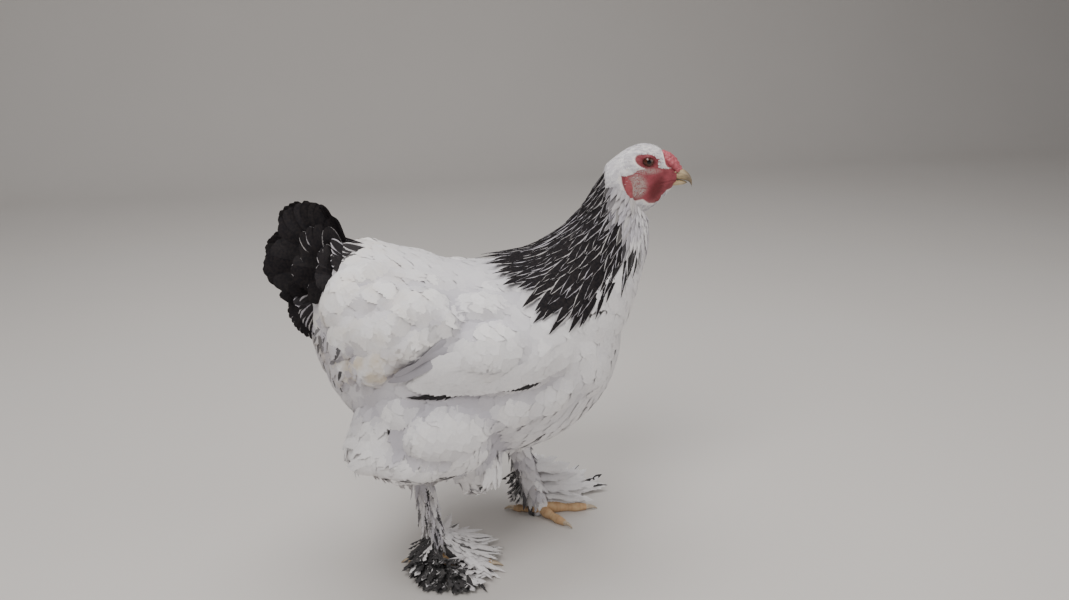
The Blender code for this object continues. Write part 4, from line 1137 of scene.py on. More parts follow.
def toe_material():
    """Yellow toe skin with darker seams between its scutes, by the shade mark."""
    material = new_material("toe skin", 0.55, 0.0, 0.4)
    n = Nodes(material)
    seam, under = n.attribute("shade")[:2]
    blotch = n.step(n.noise(160.0, 4.0), 0.35, 0.70)
    body = n.mix(blotch, *TOE_YELLOWS)
    body = n.mix(n.math("MULTIPLY", seam, 0.18), body, TOE_SEAM)
    n.colour(n.mix(n.math("MULTIPLY", under, 0.4), body, TOE_UNDERSIDE))
    n.bump(n.noise(1600.0, 3.0), 0.3, 0.0003)
    return material


def eye_material():
    """A dark brown iris round a black pupil, under a wet surface, by the distance from the pupil's middle."""
    material = new_material("eye", 0.14, 0.0, 0.3, 0.25)
    material.node_tree.nodes["Principled BSDF"].inputs["Coat Roughness"].default_value = 0.03
    n = Nodes(material)
    ring = n.attribute("shade")[0]
    iris = n.mix(n.noise(2600.0, 2.0), *IRIS_BROWNS)
    iris = n.mix(n.step(ring, 0.62, 0.80), iris, IRIS_RIM)
    n.colour(n.mix(n.step(ring, 0.30, 0.36), PUPIL_BLACK, iris))
    return material


def floor_material():
    material = new_material("studio floor", 0.9, 0.0, 0.2)
    n = Nodes(material)
    n.colour(n.mix(n.noise(3.0, 4.0), *FLOOR_GREYS))
    n.bump(n.noise(120.0, 3.0), 0.05, 0.001)
    return material


# Laying feathers

def smoothstep(value, low, high):
    t = np.clip((np.asarray(value, float) - low) / (high - low), 0, 1)
    return t * t * (3 - 2 * t)


def marks(count, dark=0.0, reach=1.5, stain=0.0, chance=0.0):
    """Each feather's mark: how dark its core is, how far out that goes, how stained it is, and its chance,
    which greys its white: painted shade in the hollows between the body's lobes, and the feather's own grey
    elsewhere.
    """
    rows = [np.broadcast_to(np.asarray(value, float), count) for value in (dark, reach, stain, chance)]
    return np.stack(rows, axis=1)


STATIONS = np.array((0.0, 0.25, 0.50, 0.75, 1.0))


def laid(guide, roots, ways, lengths, lifts, slack, stations=STATIONS):
    """Feathers that run from their roots along the surface, and leave it by the slack where it falls away."""
    shown, up = guide.nearest(roots)
    heading = flattened(ways, up)
    points, normals = [shown], [up]
    for step in np.diff(stations):
        target = shown + heading * (lengths * step)[:, None]
        surface, up = guide.nearest(target)
        gap = ((target - surface) * up).sum(axis=1)
        shown = surface + up * (np.clip(gap, 0, None) * slack)[:, None]
        fall = (heading * up).sum(axis=1, keepdims=True)
        heading = unit(heading - up * fall * (1 - slack))
        points.append(shown)
        normals.append(up)
    points = np.stack(points, axis=1)
    normals = np.stack(normals, axis=1)
    headings = unit(np.gradient(points, axis=1))
    spines = points + normals * lifts[..., None]
    sides = unit(np.cross(normals, headings))
    return spines, sides, unit(np.cross(headings, sides))


# How far feathers' edges are tucked in, and the most that they bend down as a share of the width
EDGE_TUCK = 0.0004
STEEPEST_FALL = 0.40


def side_falls(guide, spines, sides, ups, widths):
    """How far each feather's edges bend down from its middle at each station, to lie on the surface."""
    surface, _ = guide.nearest(spines.reshape(-1, 3))
    own = ((spines - surface.reshape(spines.shape)) * ups).sum(axis=2)
    falls = []
    for sign in (-1, 1):
        edges = spines + sign * sides * (widths / 2)[:, None, None]
        surface, _ = guide.nearest(edges.reshape(-1, 3))
        gap = ((edges - surface.reshape(edges.shape)) * ups).sum(axis=2)
        falls.append(np.clip(gap - own + EDGE_TUCK, 0.0, STEEPEST_FALL * widths[:, None]))
    return np.stack(falls, axis=2)


def add_laid(coat, shapes, rng, spines, sides, normals, widths, mark, bake,
             stations=STATIONS, guide=None, **looks):
    """Adds the feathers to the coat, each in one of several shapes by chance, and close to the guide if there
    is one."""
    pick = rng.integers(0, len(shapes), len(spines))
    falls = None if guide is None else side_falls(guide, spines, sides, normals, widths)
    for k, shape in enumerate(shapes):
        own = pick == k
        if own.any():
            rows = (values[own] for values in (spines, sides, normals, widths, mark, bake))
            coat.add(shape, stations, *rows, falls=None if falls is None else falls[own], **looks)


def body_lie(points):
    """Which way the body's plumage lies, before it is laid flat on the surface."""
    x, _, z = points.T
    rise = smoothstep(-x, 0.070, 0.120) * smoothstep(z, 0.296, 0.322)
    hang = smoothstep(-x, 0.120, 0.150) * smoothstep(-z, -0.292, -0.262)
    way = np.stack([np.full(len(x), -1.0), np.zeros(len(x)), np.full(len(x), -0.34)], axis=1)
    way[:, 2] += 0.80 * rise
    way += hang[:, None] * np.array([0.55, 0.0, -0.75])
    return way


def thigh_lie(points, name):
    """Which way the thigh's fluff lies: down and back, and more to the back behind."""
    _, middle, _, half, _ = THIGHS[name][3]
    behind = smoothstep(middle - points[:, 0], 0.35 * half, 0.95 * half)
    high = smoothstep(points[:, 2], 0.160, 0.185)
    way = np.tile(np.array([-0.42, 0.0, -1.0]), (len(points), 1))
    way[:, 0] -= 0.9 * behind * high
    return way


def inside_thigh(points, name):
    """1 on the thigh's surface, less inside and more outside, or 9 above and below it."""
    rows = smooth_rows(THIGHS[name][::-1], 6)
    x, y, rx, ry = (np.interp(points[:, 2], rows[:, 0], rows[:, k]) for k in (1, 2, 3, 4))
    value = np.hypot((points[:, 0] - x) / rx, (points[:, 1] - y) / ry)
    return np.where((points[:, 2] < rows[0, 0] - 0.006) | (points[:, 2] > 0.236), 9.0, value)


# How near the cape's surface places count as under it, and how many places are measured at a time
CAPE_REACH = 0.010
BLOCK_LENGTH = 2000


def under_cape(points):
    """Whether places lie under the hackle or the throat's feathers."""
    angles, shares = np.meshgrid(np.arange(-180, 180, 6.0), np.linspace(0, 0.86, 22))
    shares = shares * np.interp(np.abs(angles), (108, 132), (1.0, 0.80))
    cape = cape_point(angles.ravel(), shares.ravel())
    away = np.full(len(points), 9.0)
    for start in range(0, len(points), BLOCK_LENGTH):
        block = slice(start, start + BLOCK_LENGTH)
        away[block] = np.sqrt(((points[block][:, None] - cape[None]) ** 2).sum(axis=2).min(axis=1))
    return (away < CAPE_REACH) | ((points[:, 0] > 0.06) & (points[:, 2] > 0.325))


REGIONS = ("none", "breast", "back", "side_left", "side_right", "belly", "cushion_left", "cushion_right",
           "vent", "thigh_left", "thigh_right")
# The spacing that places of no region take
BARE_SPACING = 0.0066
# How far fluff stays above the floor
FLUFF_CLEARANCE = 0.004


def regions(points, normals):
    """The plumage region of each place on the body, as its number in REGIONS."""
    x, y, z = points.T
    cushion = (x < -0.040) & (z > 0.232) & (np.abs(y) > 0.024)
    inside = {name: inside_thigh(points, name) for name in LEGS}
    later_wins = (
        ("side_left", y > 0),
        ("side_right", y <= 0),
        ("back", z > 0.296),
        ("breast", x > 0.070),
        ("cushion_left", cushion & (y > 0)),
        ("cushion_right", cushion & (y < 0)),
        ("belly", (normals[:, 2] < -0.40) & (z < 0.20)),
        ("vent", (x < -0.134) & (z < 0.288) & (np.abs(y) < 0.060)),
        ("thigh_left", (inside["left"] > 0.88) & (inside["left"] < 1.16)),
        ("thigh_right", (inside["right"] > 0.88) & (inside["right"] < 1.16)),
        ("none", under_cape(points)),
    )
    found = np.zeros(len(points), int)
    for name, own in later_wins:
        found[own] = REGIONS.index(name)
    return found


# Region: spacing, length, width, softness, slack, lift of the tip, swing in degrees, kind of feather
PLUMAGE = {
    "breast": (0.0054, 0.025, 0.0155, 0.90, 0.03, 0.00020, 7.0, "body"),
    "back": (0.0060, 0.030, 0.0190, 0.90, 0.06, 0.00035, 7.0, "body"),
    "side_left": (0.0060, 0.028, 0.0180, 0.91, 0.06, 0.00035, 8.0, "body"),
    "side_right": (0.0060, 0.028, 0.0180, 0.91, 0.06, 0.00035, 8.0, "body"),
    "belly": (0.0062, 0.030, 0.0170, 0.75, 0.22, 0.0008, 14.0, "fluff"),
    "cushion_left": (0.0060, 0.028, 0.0190, 0.91, 0.08, 0.0005, 12.0, "soft"),
    "cushion_right": (0.0060, 0.028, 0.0190, 0.91, 0.08, 0.0005, 12.0, "soft"),
    "vent": (0.0052, 0.026, 0.0130, 0.70, 0.25, 0.0010, 18.0, "fluff"),
    "thigh_left": (0.0060, 0.031, 0.0175, 0.88, 0.22, 0.0007, 12.0, "fluff"),
    "thigh_right": (0.0060, 0.031, 0.0175, 0.88, 0.22, 0.0007, 12.0, "fluff"),
}
# Depth over which the painted shade between the lobes goes from none to full
PAINTED_SHADE_DEPTH = 0.0055

# Kind of feather: how many shapes, form, outline, half width, and the numbers that template or web then takes
FEATHER_KINDS = {
    "body": (5, template, round_outline, 0.33, 6, 0.42, 0.84, 0.08, 1.35),
    "soft": (6, template, round_outline, 0.34, 6, 0.38, 0.74, 0.13, 1.35),
    "fluff": (6, template, round_outline, 0.32, 6, 0.34, 0.62, 0.22, 1.25),
    "hackle": (5, web, lance_outline, 0.13, 10, 2, 0.20),
    "quill": (5, web, quill_outline, 0.14, 18, 0, 0.0, 0.008),
    "covert": (5, web, round_outline, 0.20, 14, 1, 0.10, 0.015),
    "wing": (4, web, quill_outline, 0.10, 12, 2, 0.14),
    "wisp": (6, template, lance_outline, 0.15, 7, 0.22, 0.45, 0.35, 0.80),
    "strand": (6, template, lance_outline, 0.07, 3, 0.30, 0.40, 0.40, 0.60),
    "plume": (6, template, round_outline, 0.17, 9, 0.22, 0.62, 0.22, 1.05, 0.07),
    "tuft": (4, template, lance_outline, 0.30, 1, 0.40, 0.50, 0.20, 1.0, 0.35),
}


def feather_kinds():
    """Several shapes of each kind of feather."""
    rng = np.random.default_rng(3)
    return {kind: [form(rng, *sizes) for _ in range(count)]
            for kind, (count, form, *sizes) in FEATHER_KINDS.items()}


def painted_hollow_shade(broad, points):
    """Painted shade for places that lie deep between the lobes: from 0 on a lobe's crown to 1."""
    surface, up = broad.nearest(points)
    return np.clip(0.50 - ((points - surface) * up).sum(axis=1) / PAINTED_SHADE_DEPTH, 0, 1)


def body_coats(guide, broad, kinds, material):
    """The soft plumage of the body and the thighs, region by region."""
    rng = np.random.default_rng(41)
    spacing_by = np.array([BARE_SPACING] + [PLUMAGE[name][0] for name in REGIONS[1:]])

    def region_of(points):
        _, normals = guide.nearest(points)
        return regions(points, normals)

    centre_regions = region_of(guide.verts[guide.faces].mean(axis=1))

    def keep(points):
        return (centre_regions > 0).astype(float)

    def spacing(points):
        found = centre_regions if len(points) == len(centre_regions) else region_of(points)
        return spacing_by[found]

    roots = guide.scatter(rng, spacing, keep)
    places, ups = guide.nearest(roots)
    found = regions(places, ups)
    for index, name in enumerate(REGIONS[1:], 1):
        own = places[found == index]
        _, length, width, softness, slack, lift, swing, kind = PLUMAGE[name]
        thigh = name.startswith("thigh")
        count = len(own)
        ways = thigh_lie(own, name[6:]) if thigh else body_lie(own)
        turn = np.radians(rng.normal(0, swing, count))
        up = ups[found == index]
        flat = flattened(ways, up)
        ways = flat * np.cos(turn)[:, None] + np.cross(up, flat) * np.sin(turn)[:, None]
        lengths = length * varied(rng, count, 0.14)
        if thigh:
            lengths = lengths * (1 + 0.45 * smoothstep(-own[:, 2], -0.160, -0.130))
        rise = lift * varied(rng, count, 0.6, 0.8)
        lifts = np.interp(STATIONS, (0.0, 0.5, 0.75, 1.0), (-1.0, -0.12, 0.0, -0.06)) * COAT_DEPTH * 0.8
        lifts = lifts[None] + rise[:, None] * STATIONS[None] ** 1.5
        spines, sides, normals = laid(guide, own - 0.35 * length * flat, ways, lengths, lifts, slack)
        widths = width * varied(rng, count, 0.12)
        mark = body_marks(name, spines[:, 3], broad, rng)
        bake = body_unwrap(name, own)
        coat = Coat(f"plumage_{name}", softness)
        add_laid(coat, kinds[kind], rng, spines, sides, normals, widths, mark, bake, guide=guide)
        coat.finish(material, (), FLUFF_CLEARANCE if thigh else None)


def body_marks(name, places, broad, rng):
    """White on the lobes with painted shade between them, cream on the cushions' lower ends, and dark under
    the tail and where the back meets it."""
    count = len(places)
    x, _, z = places.T
    stain = 0.80 * smoothstep(-z, -0.280, -0.262) * smoothstep(-x, 0.085, 0.110) * (z > 0.235)
    stain = stain + 0.22 * smoothstep(-x, 0.040, 0.100) * smoothstep(z, 0.250, 0.290)
    stain = stain + 0.10 * rng.random(count)
    # Painted shade: feathers in the hollows between the lobes are greyed, with a little random tone
    chance = np.clip(1.25 * painted_hollow_shade(broad, places) ** 1.3 + 0.06 * rng.random(count), 0, 1)
    if name == "breast":
        chance = chance * np.interp(z, (0.200, 0.245), (1.0, 0.25))
    dark = np.zeros(count)
    reach = np.full(count, 1.5)
    if name in ("vent", "rump"):
        dusky = rng.random(count) < np.interp(z, (0.222, 0.238, 0.262, 0.285), (0.0, 0.30, 0.34, 0.75))
        dusky = dusky & (x < -0.136)
        dark = np.where(dusky, rng.uniform(0.60, 0.95, count), 0.0)
        reach = rng.uniform(0.25, 0.65, count)
        chance = np.clip(chance + 0.60 * smoothstep(z, 0.205, 0.235), 0, 1)
    if name in ("back", "cushion_left", "cushion_right"):
        near_tail = smoothstep(z + 0.55 * (-x - 0.130), 0.338, 0.345) * smoothstep(-x, 0.108, 0.122)
        dusky = rng.random(count) < 0.75 * near_tail
        dark = np.where(dusky, rng.uniform(0.85, 0.98, count), 0.0)
        reach = np.where(dusky, rng.uniform(0.55, 0.90, count), reach)
    return marks(count, dark, reach, stain, chance)


# Loose tufts: thigh, lowest and highest root, furthest back and ahead, way they hang, length, width, spacing
# and the marks they share
FRINGES = (
    ("right", (0.112, 0.150), (-0.160, 0.010), (-0.30, -0.10, -1.0), 0.027, 0.0095, 0.0058, "thigh"),
    ("left", (0.094, 0.140), (-0.100, 0.080), (-0.10, 0.10, -1.0), 0.024, 0.0095, 0.0058, "thigh"),
    ("right", (0.160, 0.200), (-0.160, -0.112), (-1.0, -0.10, -0.45), 0.029, 0.0100, 0.0070, "thigh"),
    ("left", (0.160, 0.200), (-0.110, -0.064), (-1.0, 0.10, -0.45), 0.029, 0.0100, 0.0070, "thigh"),
    (None, (0.108, 0.150), (-0.046, 0.006), (-0.05, -0.10, -1.0), 0.026, 0.0100, 0.0055, "thigh"),
    (None, (0.185, 0.285), (-0.190, -0.126), (-0.55, 0.0, -1.0), 0.020, 0.0100, 0.0070, "rump"),
)
FRINGE_SLACK = 0.80


def fringe(guide, broad, kinds, material):
    """Loose tufts that break the outline of the thighs, of the fluff between the legs and of the rump."""
    rng = np.random.default_rng(83)
    coat = Coat("fringe", 0.60)
    for thigh, heights, run, way, length, width, gap, look in FRINGES:
        def keep(points):
            x, y, z = points.T
            inside = (z > heights[0]) & (z < heights[1]) & (x > run[0]) & (x < run[1])
            if thigh is None:
                return (inside & (np.abs(y) < 0.085)).astype(float)
            value = inside_thigh(points, thigh)
            return (inside & (value > 0.80) & (value < 1.25)).astype(float)

        roots = guide.scatter(rng, lambda points: np.full(len(points), gap), keep)
        count = len(roots)
        ways = np.array(way) + rng.normal(0, 0.16, (count, 3))
        lengths = length * varied(rng, count, 0.25)
        lifts = np.interp(STATIONS, (0.0, 0.4, 1.0), (-0.0030, 0.0002, 0.0008))[None].repeat(count, axis=0)
        spines, sides, normals = laid(guide, roots, ways, lengths, lifts, FRINGE_SLACK)
        widths = width * varied(rng, count, 0.2)
        mark = body_marks(look, spines[:, 2], broad, rng)
        bake = body_unwrap("torso" if thigh is None else f"thigh_{thigh}", roots)
        add_laid(coat, kinds["plume"], rng, spines, sides, normals, widths, mark, bake, camber=0.14)
    coat.finish(material, (), FLUFF_CLEARANCE)


def unwrapped(across, along):
    """Places on an unwrap, from shares of the way over it, kept clear of its edges."""
    return 0.02 + 0.96 * np.stack([across, along], axis=1)


def body_unwrap(name, places):
    """Where places lie on an unwrap of the body's or the thigh's own shape."""
    if name.startswith("thigh"):
        _, x, y, _, _ = THIGHS[name[6:]][3]
        turn = np.arctan2(places[:, 1] - y, places[:, 0] - x) / (2 * math.pi) + 0.5
        height = (places[:, 2] - 0.09) / 0.16
        return unwrapped(turn, np.clip(height, 0, 1))
    turn = np.arctan2(places[:, 1], places[:, 2] - 0.24) / (2 * math.pi) + 0.5
    run = (places[:, 0] + 0.18) / 0.33
    return unwrapped(np.clip(run, 0, 1), turn)


# Hackle and throat

# Tiers of hackles: how many, and the first and last start on the cape, length and width
HACKLE_TIER_COUNT = 15
HACKLE_STARTS = (-0.02, 0.70)
HACKLE_LENGTHS = (0.018, 0.052)
HACKLE_WIDTHS = (0.0052, 0.0128)
HACKLE_SPACING = 0.74
# How far down the cape its hackles' tips reach, by angle from the nape
HACKLE_REACH = ((0, 1.19), (80, 1.12), (96, 1.02), (110, 0.88), (125, 0.75), (140, 0.66), (166, 0.60))
# How much of a hackle's half width its black core takes, by angle from the nape
HACKLE_CORES = ((0, 0.82), (95, 0.76), (125, 0.64), (145, 0.54), (165, 0.48))
# Where on the cape the hackles turn black, by angle from the nape
BLACK_STARTS = ((0, -0.10), (30, -0.06), (70, 0.08), (110, 0.20), (140, 0.27), (165, 0.33), (180, 0.40))
# How far the cape's lower edge stands off the shoulders, and its length from the head to there
EDGE_RAISE = 0.0036
CAPE_LENGTH = 0.128


def cape_spines(angles, starts, lengths, lifts, drift):
    """Feathers that run down the cape from their starts."""
    shares = starts[:, None] + (lengths / CAPE_LENGTH)[:, None] * STATIONS[None]
    turned = np.clip(angles[:, None] + drift[:, None] * STATIONS[None], -180, 180)
    points = cape_point(turned, shares)
    normals = cape_normal(turned, shares)
    headings = unit(np.gradient(points, axis=1))
    low = smoothstep(shares, 0.72, 1.02) * (1 - smoothstep(np.abs(turned), 96.0, 126.0))
    raised = lifts + EDGE_RAISE * low
    spines = points + normals * raised[..., None]
    return spines, unit(np.cross(normals, headings)), normals


def hackle_dark(angles, starts):
    """Where the hackle is black: from the head down at the nape, lower and lower towards the throat."""
    angle = np.abs(angles)
    first = np.interp(angle, *np.array(BLACK_STARTS).T)
    dark = smoothstep(starts, first - 0.05, first + 0.07)
    return dark * np.interp(angle, (0, 140, 165, 180), (1.0, 1.0, 0.8, 0.5))


def hackle(guide, kinds, material, white):
    """Narrow pointed feathers from nape to shoulders, and soft white ones over the throat."""
    rng = np.random.default_rng(43)
    black_coat = Coat("hackle", 0.30)
    streaked_coat = Coat("hackle_streaked", 0.45)
    white_coat = Coat("throat_plumage", 0.88)
    turns = np.linspace(-180, 180, 120)
    shortest, longest = HACKLE_LENGTHS
    for tier, start in enumerate(np.linspace(*HACKLE_STARTS, HACKLE_TIER_COUNT)):
        share = tier / (HACKLE_TIER_COUNT - 1)
        width = np.interp(share, (0, 1), HACKLE_WIDTHS)
        length = np.interp(share, (0, 0.7, 1), (shortest, longest, longest * 0.9))
        ring = cape_point(turns, min(start + 0.15, 1.0))
        path = np.linalg.norm(np.diff(ring, axis=0), axis=1)
        around = np.concatenate([[0], np.cumsum(path)])
        count = int(around[-1] / (width * HACKLE_SPACING))
        steps = (np.arange(count) + 0.5 * (tier % 2) + rng.uniform(-0.22, 0.22, count)) / count
        angles = np.interp((steps % 1.0) * around[-1], around, turns)
        begun = start + rng.uniform(-0.014, 0.014, count)
        lengths = length * varied(rng, count, 0.10)
        tips = begun + lengths / CAPE_LENGTH
        turned = np.abs(angles)
        front = (turned > HACKLE_LIMIT) | (tips > np.interp(turned, *np.array(HACKLE_REACH).T))
        streaked = ~front & (turned > STREAKED_LIMIT)
        lengths = np.where(front, lengths * 0.62, lengths)
        rise = rng.uniform(0.2, 1.3, count) * np.where(front, 0.25, 1.0)
        lifts = np.interp(STATIONS, (0, 0.5, 1.0), (-0.0034, -0.0010, 0.0))[None]
        lifts = lifts + 0.0008 * rise[:, None] * STATIONS
        drift = rng.normal(0, 3.0, count) * np.interp(begun, (0, 0.7), (1.6, 1.0))
        spines, sides, normals = cape_spines(angles, begun, lengths, lifts, drift)
        widths = width * varied(rng, count, 0.12)
        dark = hackle_dark(angles, begun)
        reach = np.interp(turned, *np.array(HACKLE_CORES).T)
        reach = reach + rng.uniform(-0.06, 0.06, count)
        mark = marks(count, dark, reach, 0.05, rng.random(count))
        bake = unwrapped(angles / 360 + 0.5, np.clip(begun + 0.03, 0, 1))
        for coat, own in ((black_coat, ~front & ~streaked), (streaked_coat, streaked)):
            rows = (values[own] for values in (spines, sides, normals, widths, mark, bake))
            add_laid(coat, kinds["hackle"], rng, *rows, camber=0.12)
        roots = cape_point(angles[front], begun[front])
        ways = cape_point(angles[front] + drift[front], begun[front] + 0.10) - roots
        lines = laid(guide, roots, ways, lengths[front], lifts[front], 0.03)
        whitened = mark[front] * (0.0, 1.0, 1.0, 0.4)
        add_laid(white_coat, kinds["soft"], rng, *lines, 1.6 * widths[front], whitened, bake[front],
                 guide=guide)
    black_coat.finish(material, ("neck",))
    streaked_coat.finish(white, ())
    white_coat.finish(white, ())


# Wings

# Rows of quills laid over the wing's side: count, root and tip of the lowest and of the highest in side view,
# lift at the root, the middle and the tip, width, sag, how dark they are and how dull
WING_ROWS = (
    (3, (-0.026, 0.2270), (-0.086, 0.2245), (-0.010, 0.2300), (-0.076, 0.2270),
     (-0.0020, 0.0012, 0.0012), 0.0085, 0.0022, 0.98, 0.12),
    (3, (0.036, 0.2260), (0.000, 0.2215), (0.052, 0.2300), (0.008, 0.2240),
     (-0.0020, 0.0012, 0.0012), 0.0080, 0.0012, 0.98, 0.12),
    (5, (-0.030, 0.2400), (-0.092, 0.2370), (-0.030, 0.2690), (-0.070, 0.2640),
     (-0.0020, 0.0016, 0.0020), 0.0140, 0.0020, 0.0, 0.12),
    (3, (-0.046, 0.2740), (-0.104, 0.2430), (-0.050, 0.2800), (-0.095, 0.2520),
     (-0.0010, 0.0048, 0.0048), 0.0085, 0.0010, 0.22, 1.0),
)
# The wing's lower edge: x and z
WING_EDGE = (
    (-0.098, 0.2440), (-0.082, 0.2300), (-0.042, 0.2250), (0.000, 0.2270), (0.030, 0.2330), (0.062, 0.2450))
# Rows of soft coverts: count, first and last x of their tips, height over the edge, length and lift
COVERT_ROWS = (
    (13, (-0.078, 0.050), 0.0060, 0.034, 0.0026),
    (11, (-0.060, 0.052), 0.0135, 0.036, 0.0022),
)
COVERT_WIDTH = 0.0170
# How far out beside the torso the search for the body's surface starts
SEARCH_LIFT = 0.012


def beside_body(guide, x, z, side, lifts):
    """Places on the body's surface at its side, raised by the lifts, with its normals."""
    start = beside_torso(x, z, side, SEARCH_LIFT)
    places, up = guide.nearest(start.reshape(-1, 3))
    places, up = places.reshape(start.shape), up.reshape(start.shape)
    for _ in range(2):
        places[:, 1:-1] = (places[:, :-2] + 2 * places[:, 1:-1] + places[:, 2:]) / 4
        up[:, 1:-1] = (up[:, :-2] + 2 * up[:, 1:-1] + up[:, 2:]) / 4
    up = unit(up)
    return places + up * np.broadcast_to(lifts, start.shape[:2])[..., None], up


def wing_coat(name, side, guide, kinds, material):
    """The folded wing's quills, and soft coverts along its lower edge."""
    rng = np.random.default_rng(47)
    coat = Coat(f"wing_feathers_{name}", 0.60)
    places = np.linspace(0, 1, 9)
    for count, low_root, low_tip, high_root, high_tip, lifts, width, sag, dark, dull in WING_ROWS:
        shares = np.linspace(0, 1, count)
        roots = between(np.array((low_root, high_root)), shares[:, None])
        tips = between(np.array((low_tip, high_tip)), shares[:, None])
        tips = tips + rng.uniform(-0.002, 0.002, tips.shape)
        xs = roots[:, :1] + places * (tips[:, :1] - roots[:, :1])
        zs = roots[:, 1:] + places * (tips[:, 1:] - roots[:, 1:]) - sag * np.sin(places * math.pi)
        rises = np.interp(places, (0.0, 0.55, 1.0), lifts) + 0.0005 * shares[:, None] * places
        spines, up = beside_body(guide, xs, zs, side, rises)
        headings = unit(np.gradient(spines, axis=1))
        sides = unit(np.cross(up, headings))
        normals = unit(np.cross(headings, sides))
        widths = width * varied(rng, count, 0.06)
        tone = np.where(dark > 0, np.clip(dark + rng.uniform(-0.05, 0.03, count), 0, 1), 0.0)
        mark = marks(count, tone, 1.5, 0.02, dull + 0.12 * rng.random(count))
        bake = np.stack([0.1 + 0.8 * shares, np.full(count, 0.1 + 0.8 * (low_tip[0] + 0.11) / 0.2)], axis=1)
        shapes = kinds["wisp" if dark > 0.9 else "wing"]
        add_laid(coat, shapes, rng, spines, sides, normals, widths, mark, bake, places, camber=0.06)
    coat.finish(material, (f"wing_{name}",))
    wing_coverts(name, side, guide, kinds, material, rng)


def wing_coverts(name, side, guide, kinds, material, rng):
    """Rows of soft coverts whose tips lie along the wing's lower edge."""
    coverts = Coat(f"wing_coverts_{name}", 0.90)
    edge_x, edge_z = np.array(WING_EDGE).T
    for count, (first, last), height, length, lift in COVERT_ROWS:
        x = np.linspace(first, last, count) + rng.uniform(-0.002, 0.002, count)
        z = np.interp(x, edge_x, edge_z) + height
        rise = np.interp(x + 0.8 * length, edge_x, edge_z) + height + 0.004 - z
        roots = beside_torso(x + 0.8 * length, z + rise, side, SEARCH_LIFT)
        ways = np.stack([np.full(count, -0.8 * length), np.zeros(count), -rise], axis=1)
        lengths = length * varied(rng, count, 0.10)
        lifts = np.interp(STATIONS, (0.0, 0.4, 1.0), (-0.0030, lift - 0.0006, lift))[None]
        spines, sides, normals = laid(guide, roots, ways, lengths, np.repeat(lifts, count, axis=0), 0.10)
        widths = COVERT_WIDTH * varied(rng, count, 0.10)
        mark = marks(count, 0.0, 1.5, 0.04, 0.10 + 0.08 * rng.random(count))
        bake = np.stack([np.clip(0.5 + x / 0.25, 0.02, 0.98), np.full(count, 0.3 + height * 30)], axis=1)
        add_laid(coverts, kinds["soft"], rng, spines, sides, normals, widths, mark, bake, guide=guide)
    coverts.finish(material, ())


# Tail

# Fans of tail feathers: count on each side, first and last rise, splay and share of the whole length, root,
# width, how dark they are, how far out that goes, the share of them that is laced, and kind
TAIL_FANS = (
    (20, (76.0, -6.0), (2.0, 26.0), (1.0, 1.0), (-0.128, 0.0035, 0.322),
     0.0200, 0.995, 1.5, 0.35, "quill"),
    (12, (72.0, -16.0), (12.0, 40.0), (0.72, 0.72), (-0.130, 0.010, 0.322),
     0.0210, 0.995, 0.93, 0.35, "covert"),
    (11, (60.0, -12.0), (26.0, 56.0), (0.50, 0.52), (-0.130, 0.018, 0.320),
     0.0190, 0.99, 0.90, 0.35, "covert"),
    (13, (8.0, -74.0), (6.0, 16.0), (0.56, 0.60), (-0.150, 0.006, 0.301),
     0.0150, 0.98, 0.90, 0.35, "covert"),
    (11, (2.0, -68.0), (26.0, 50.0), (0.52, 0.55), (-0.147, 0.012, 0.303),
     0.0150, 0.96, 0.74, 0.85, "covert"),
    (8, (24.0, -26.0), (12.0, 50.0), (0.40, 0.42), (-0.104, 0.009, 0.3395),
     0.0120, 0.97, 0.62, 0.85, "covert"),
    (7, (48.0, 0.0), (22.0, 52.0), (0.44, 0.42), (-0.119, 0.012, 0.331),
     0.0150, 0.99, 0.70, 0.85, "covert"),
)
# How long the tail's feathers are, by how steeply they rise in degrees
TAIL_REACH = ((-74, 0.079), (-20, 0.070), (-3, 0.061), (0, 0.069), (6, 0.078), (12, 0.0825), (18, 0.0815),
              (28, 0.0765), (35, 0.0690), (41, 0.0795), (48, 0.0840), (61, 0.0800), (71, 0.0700), (76, 0.055))
# How steeply the fan's two sides slope like a roof, how far each feather is rolled, and how far it curls
TAIL_ROOF = 0.9
TAIL_ROLL = 0.17
TAIL_CURL = 0.05


def fan_direction(rise, splay, side):
    """The way of feathers that rise and splay by these degrees, back from the body."""
    rise, splay = np.radians(rise), np.radians(splay)
    flat = np.cos(rise)
    return np.stack([-flat * np.cos(splay), side * flat * np.sin(splay), np.sin(rise)], axis=-1)


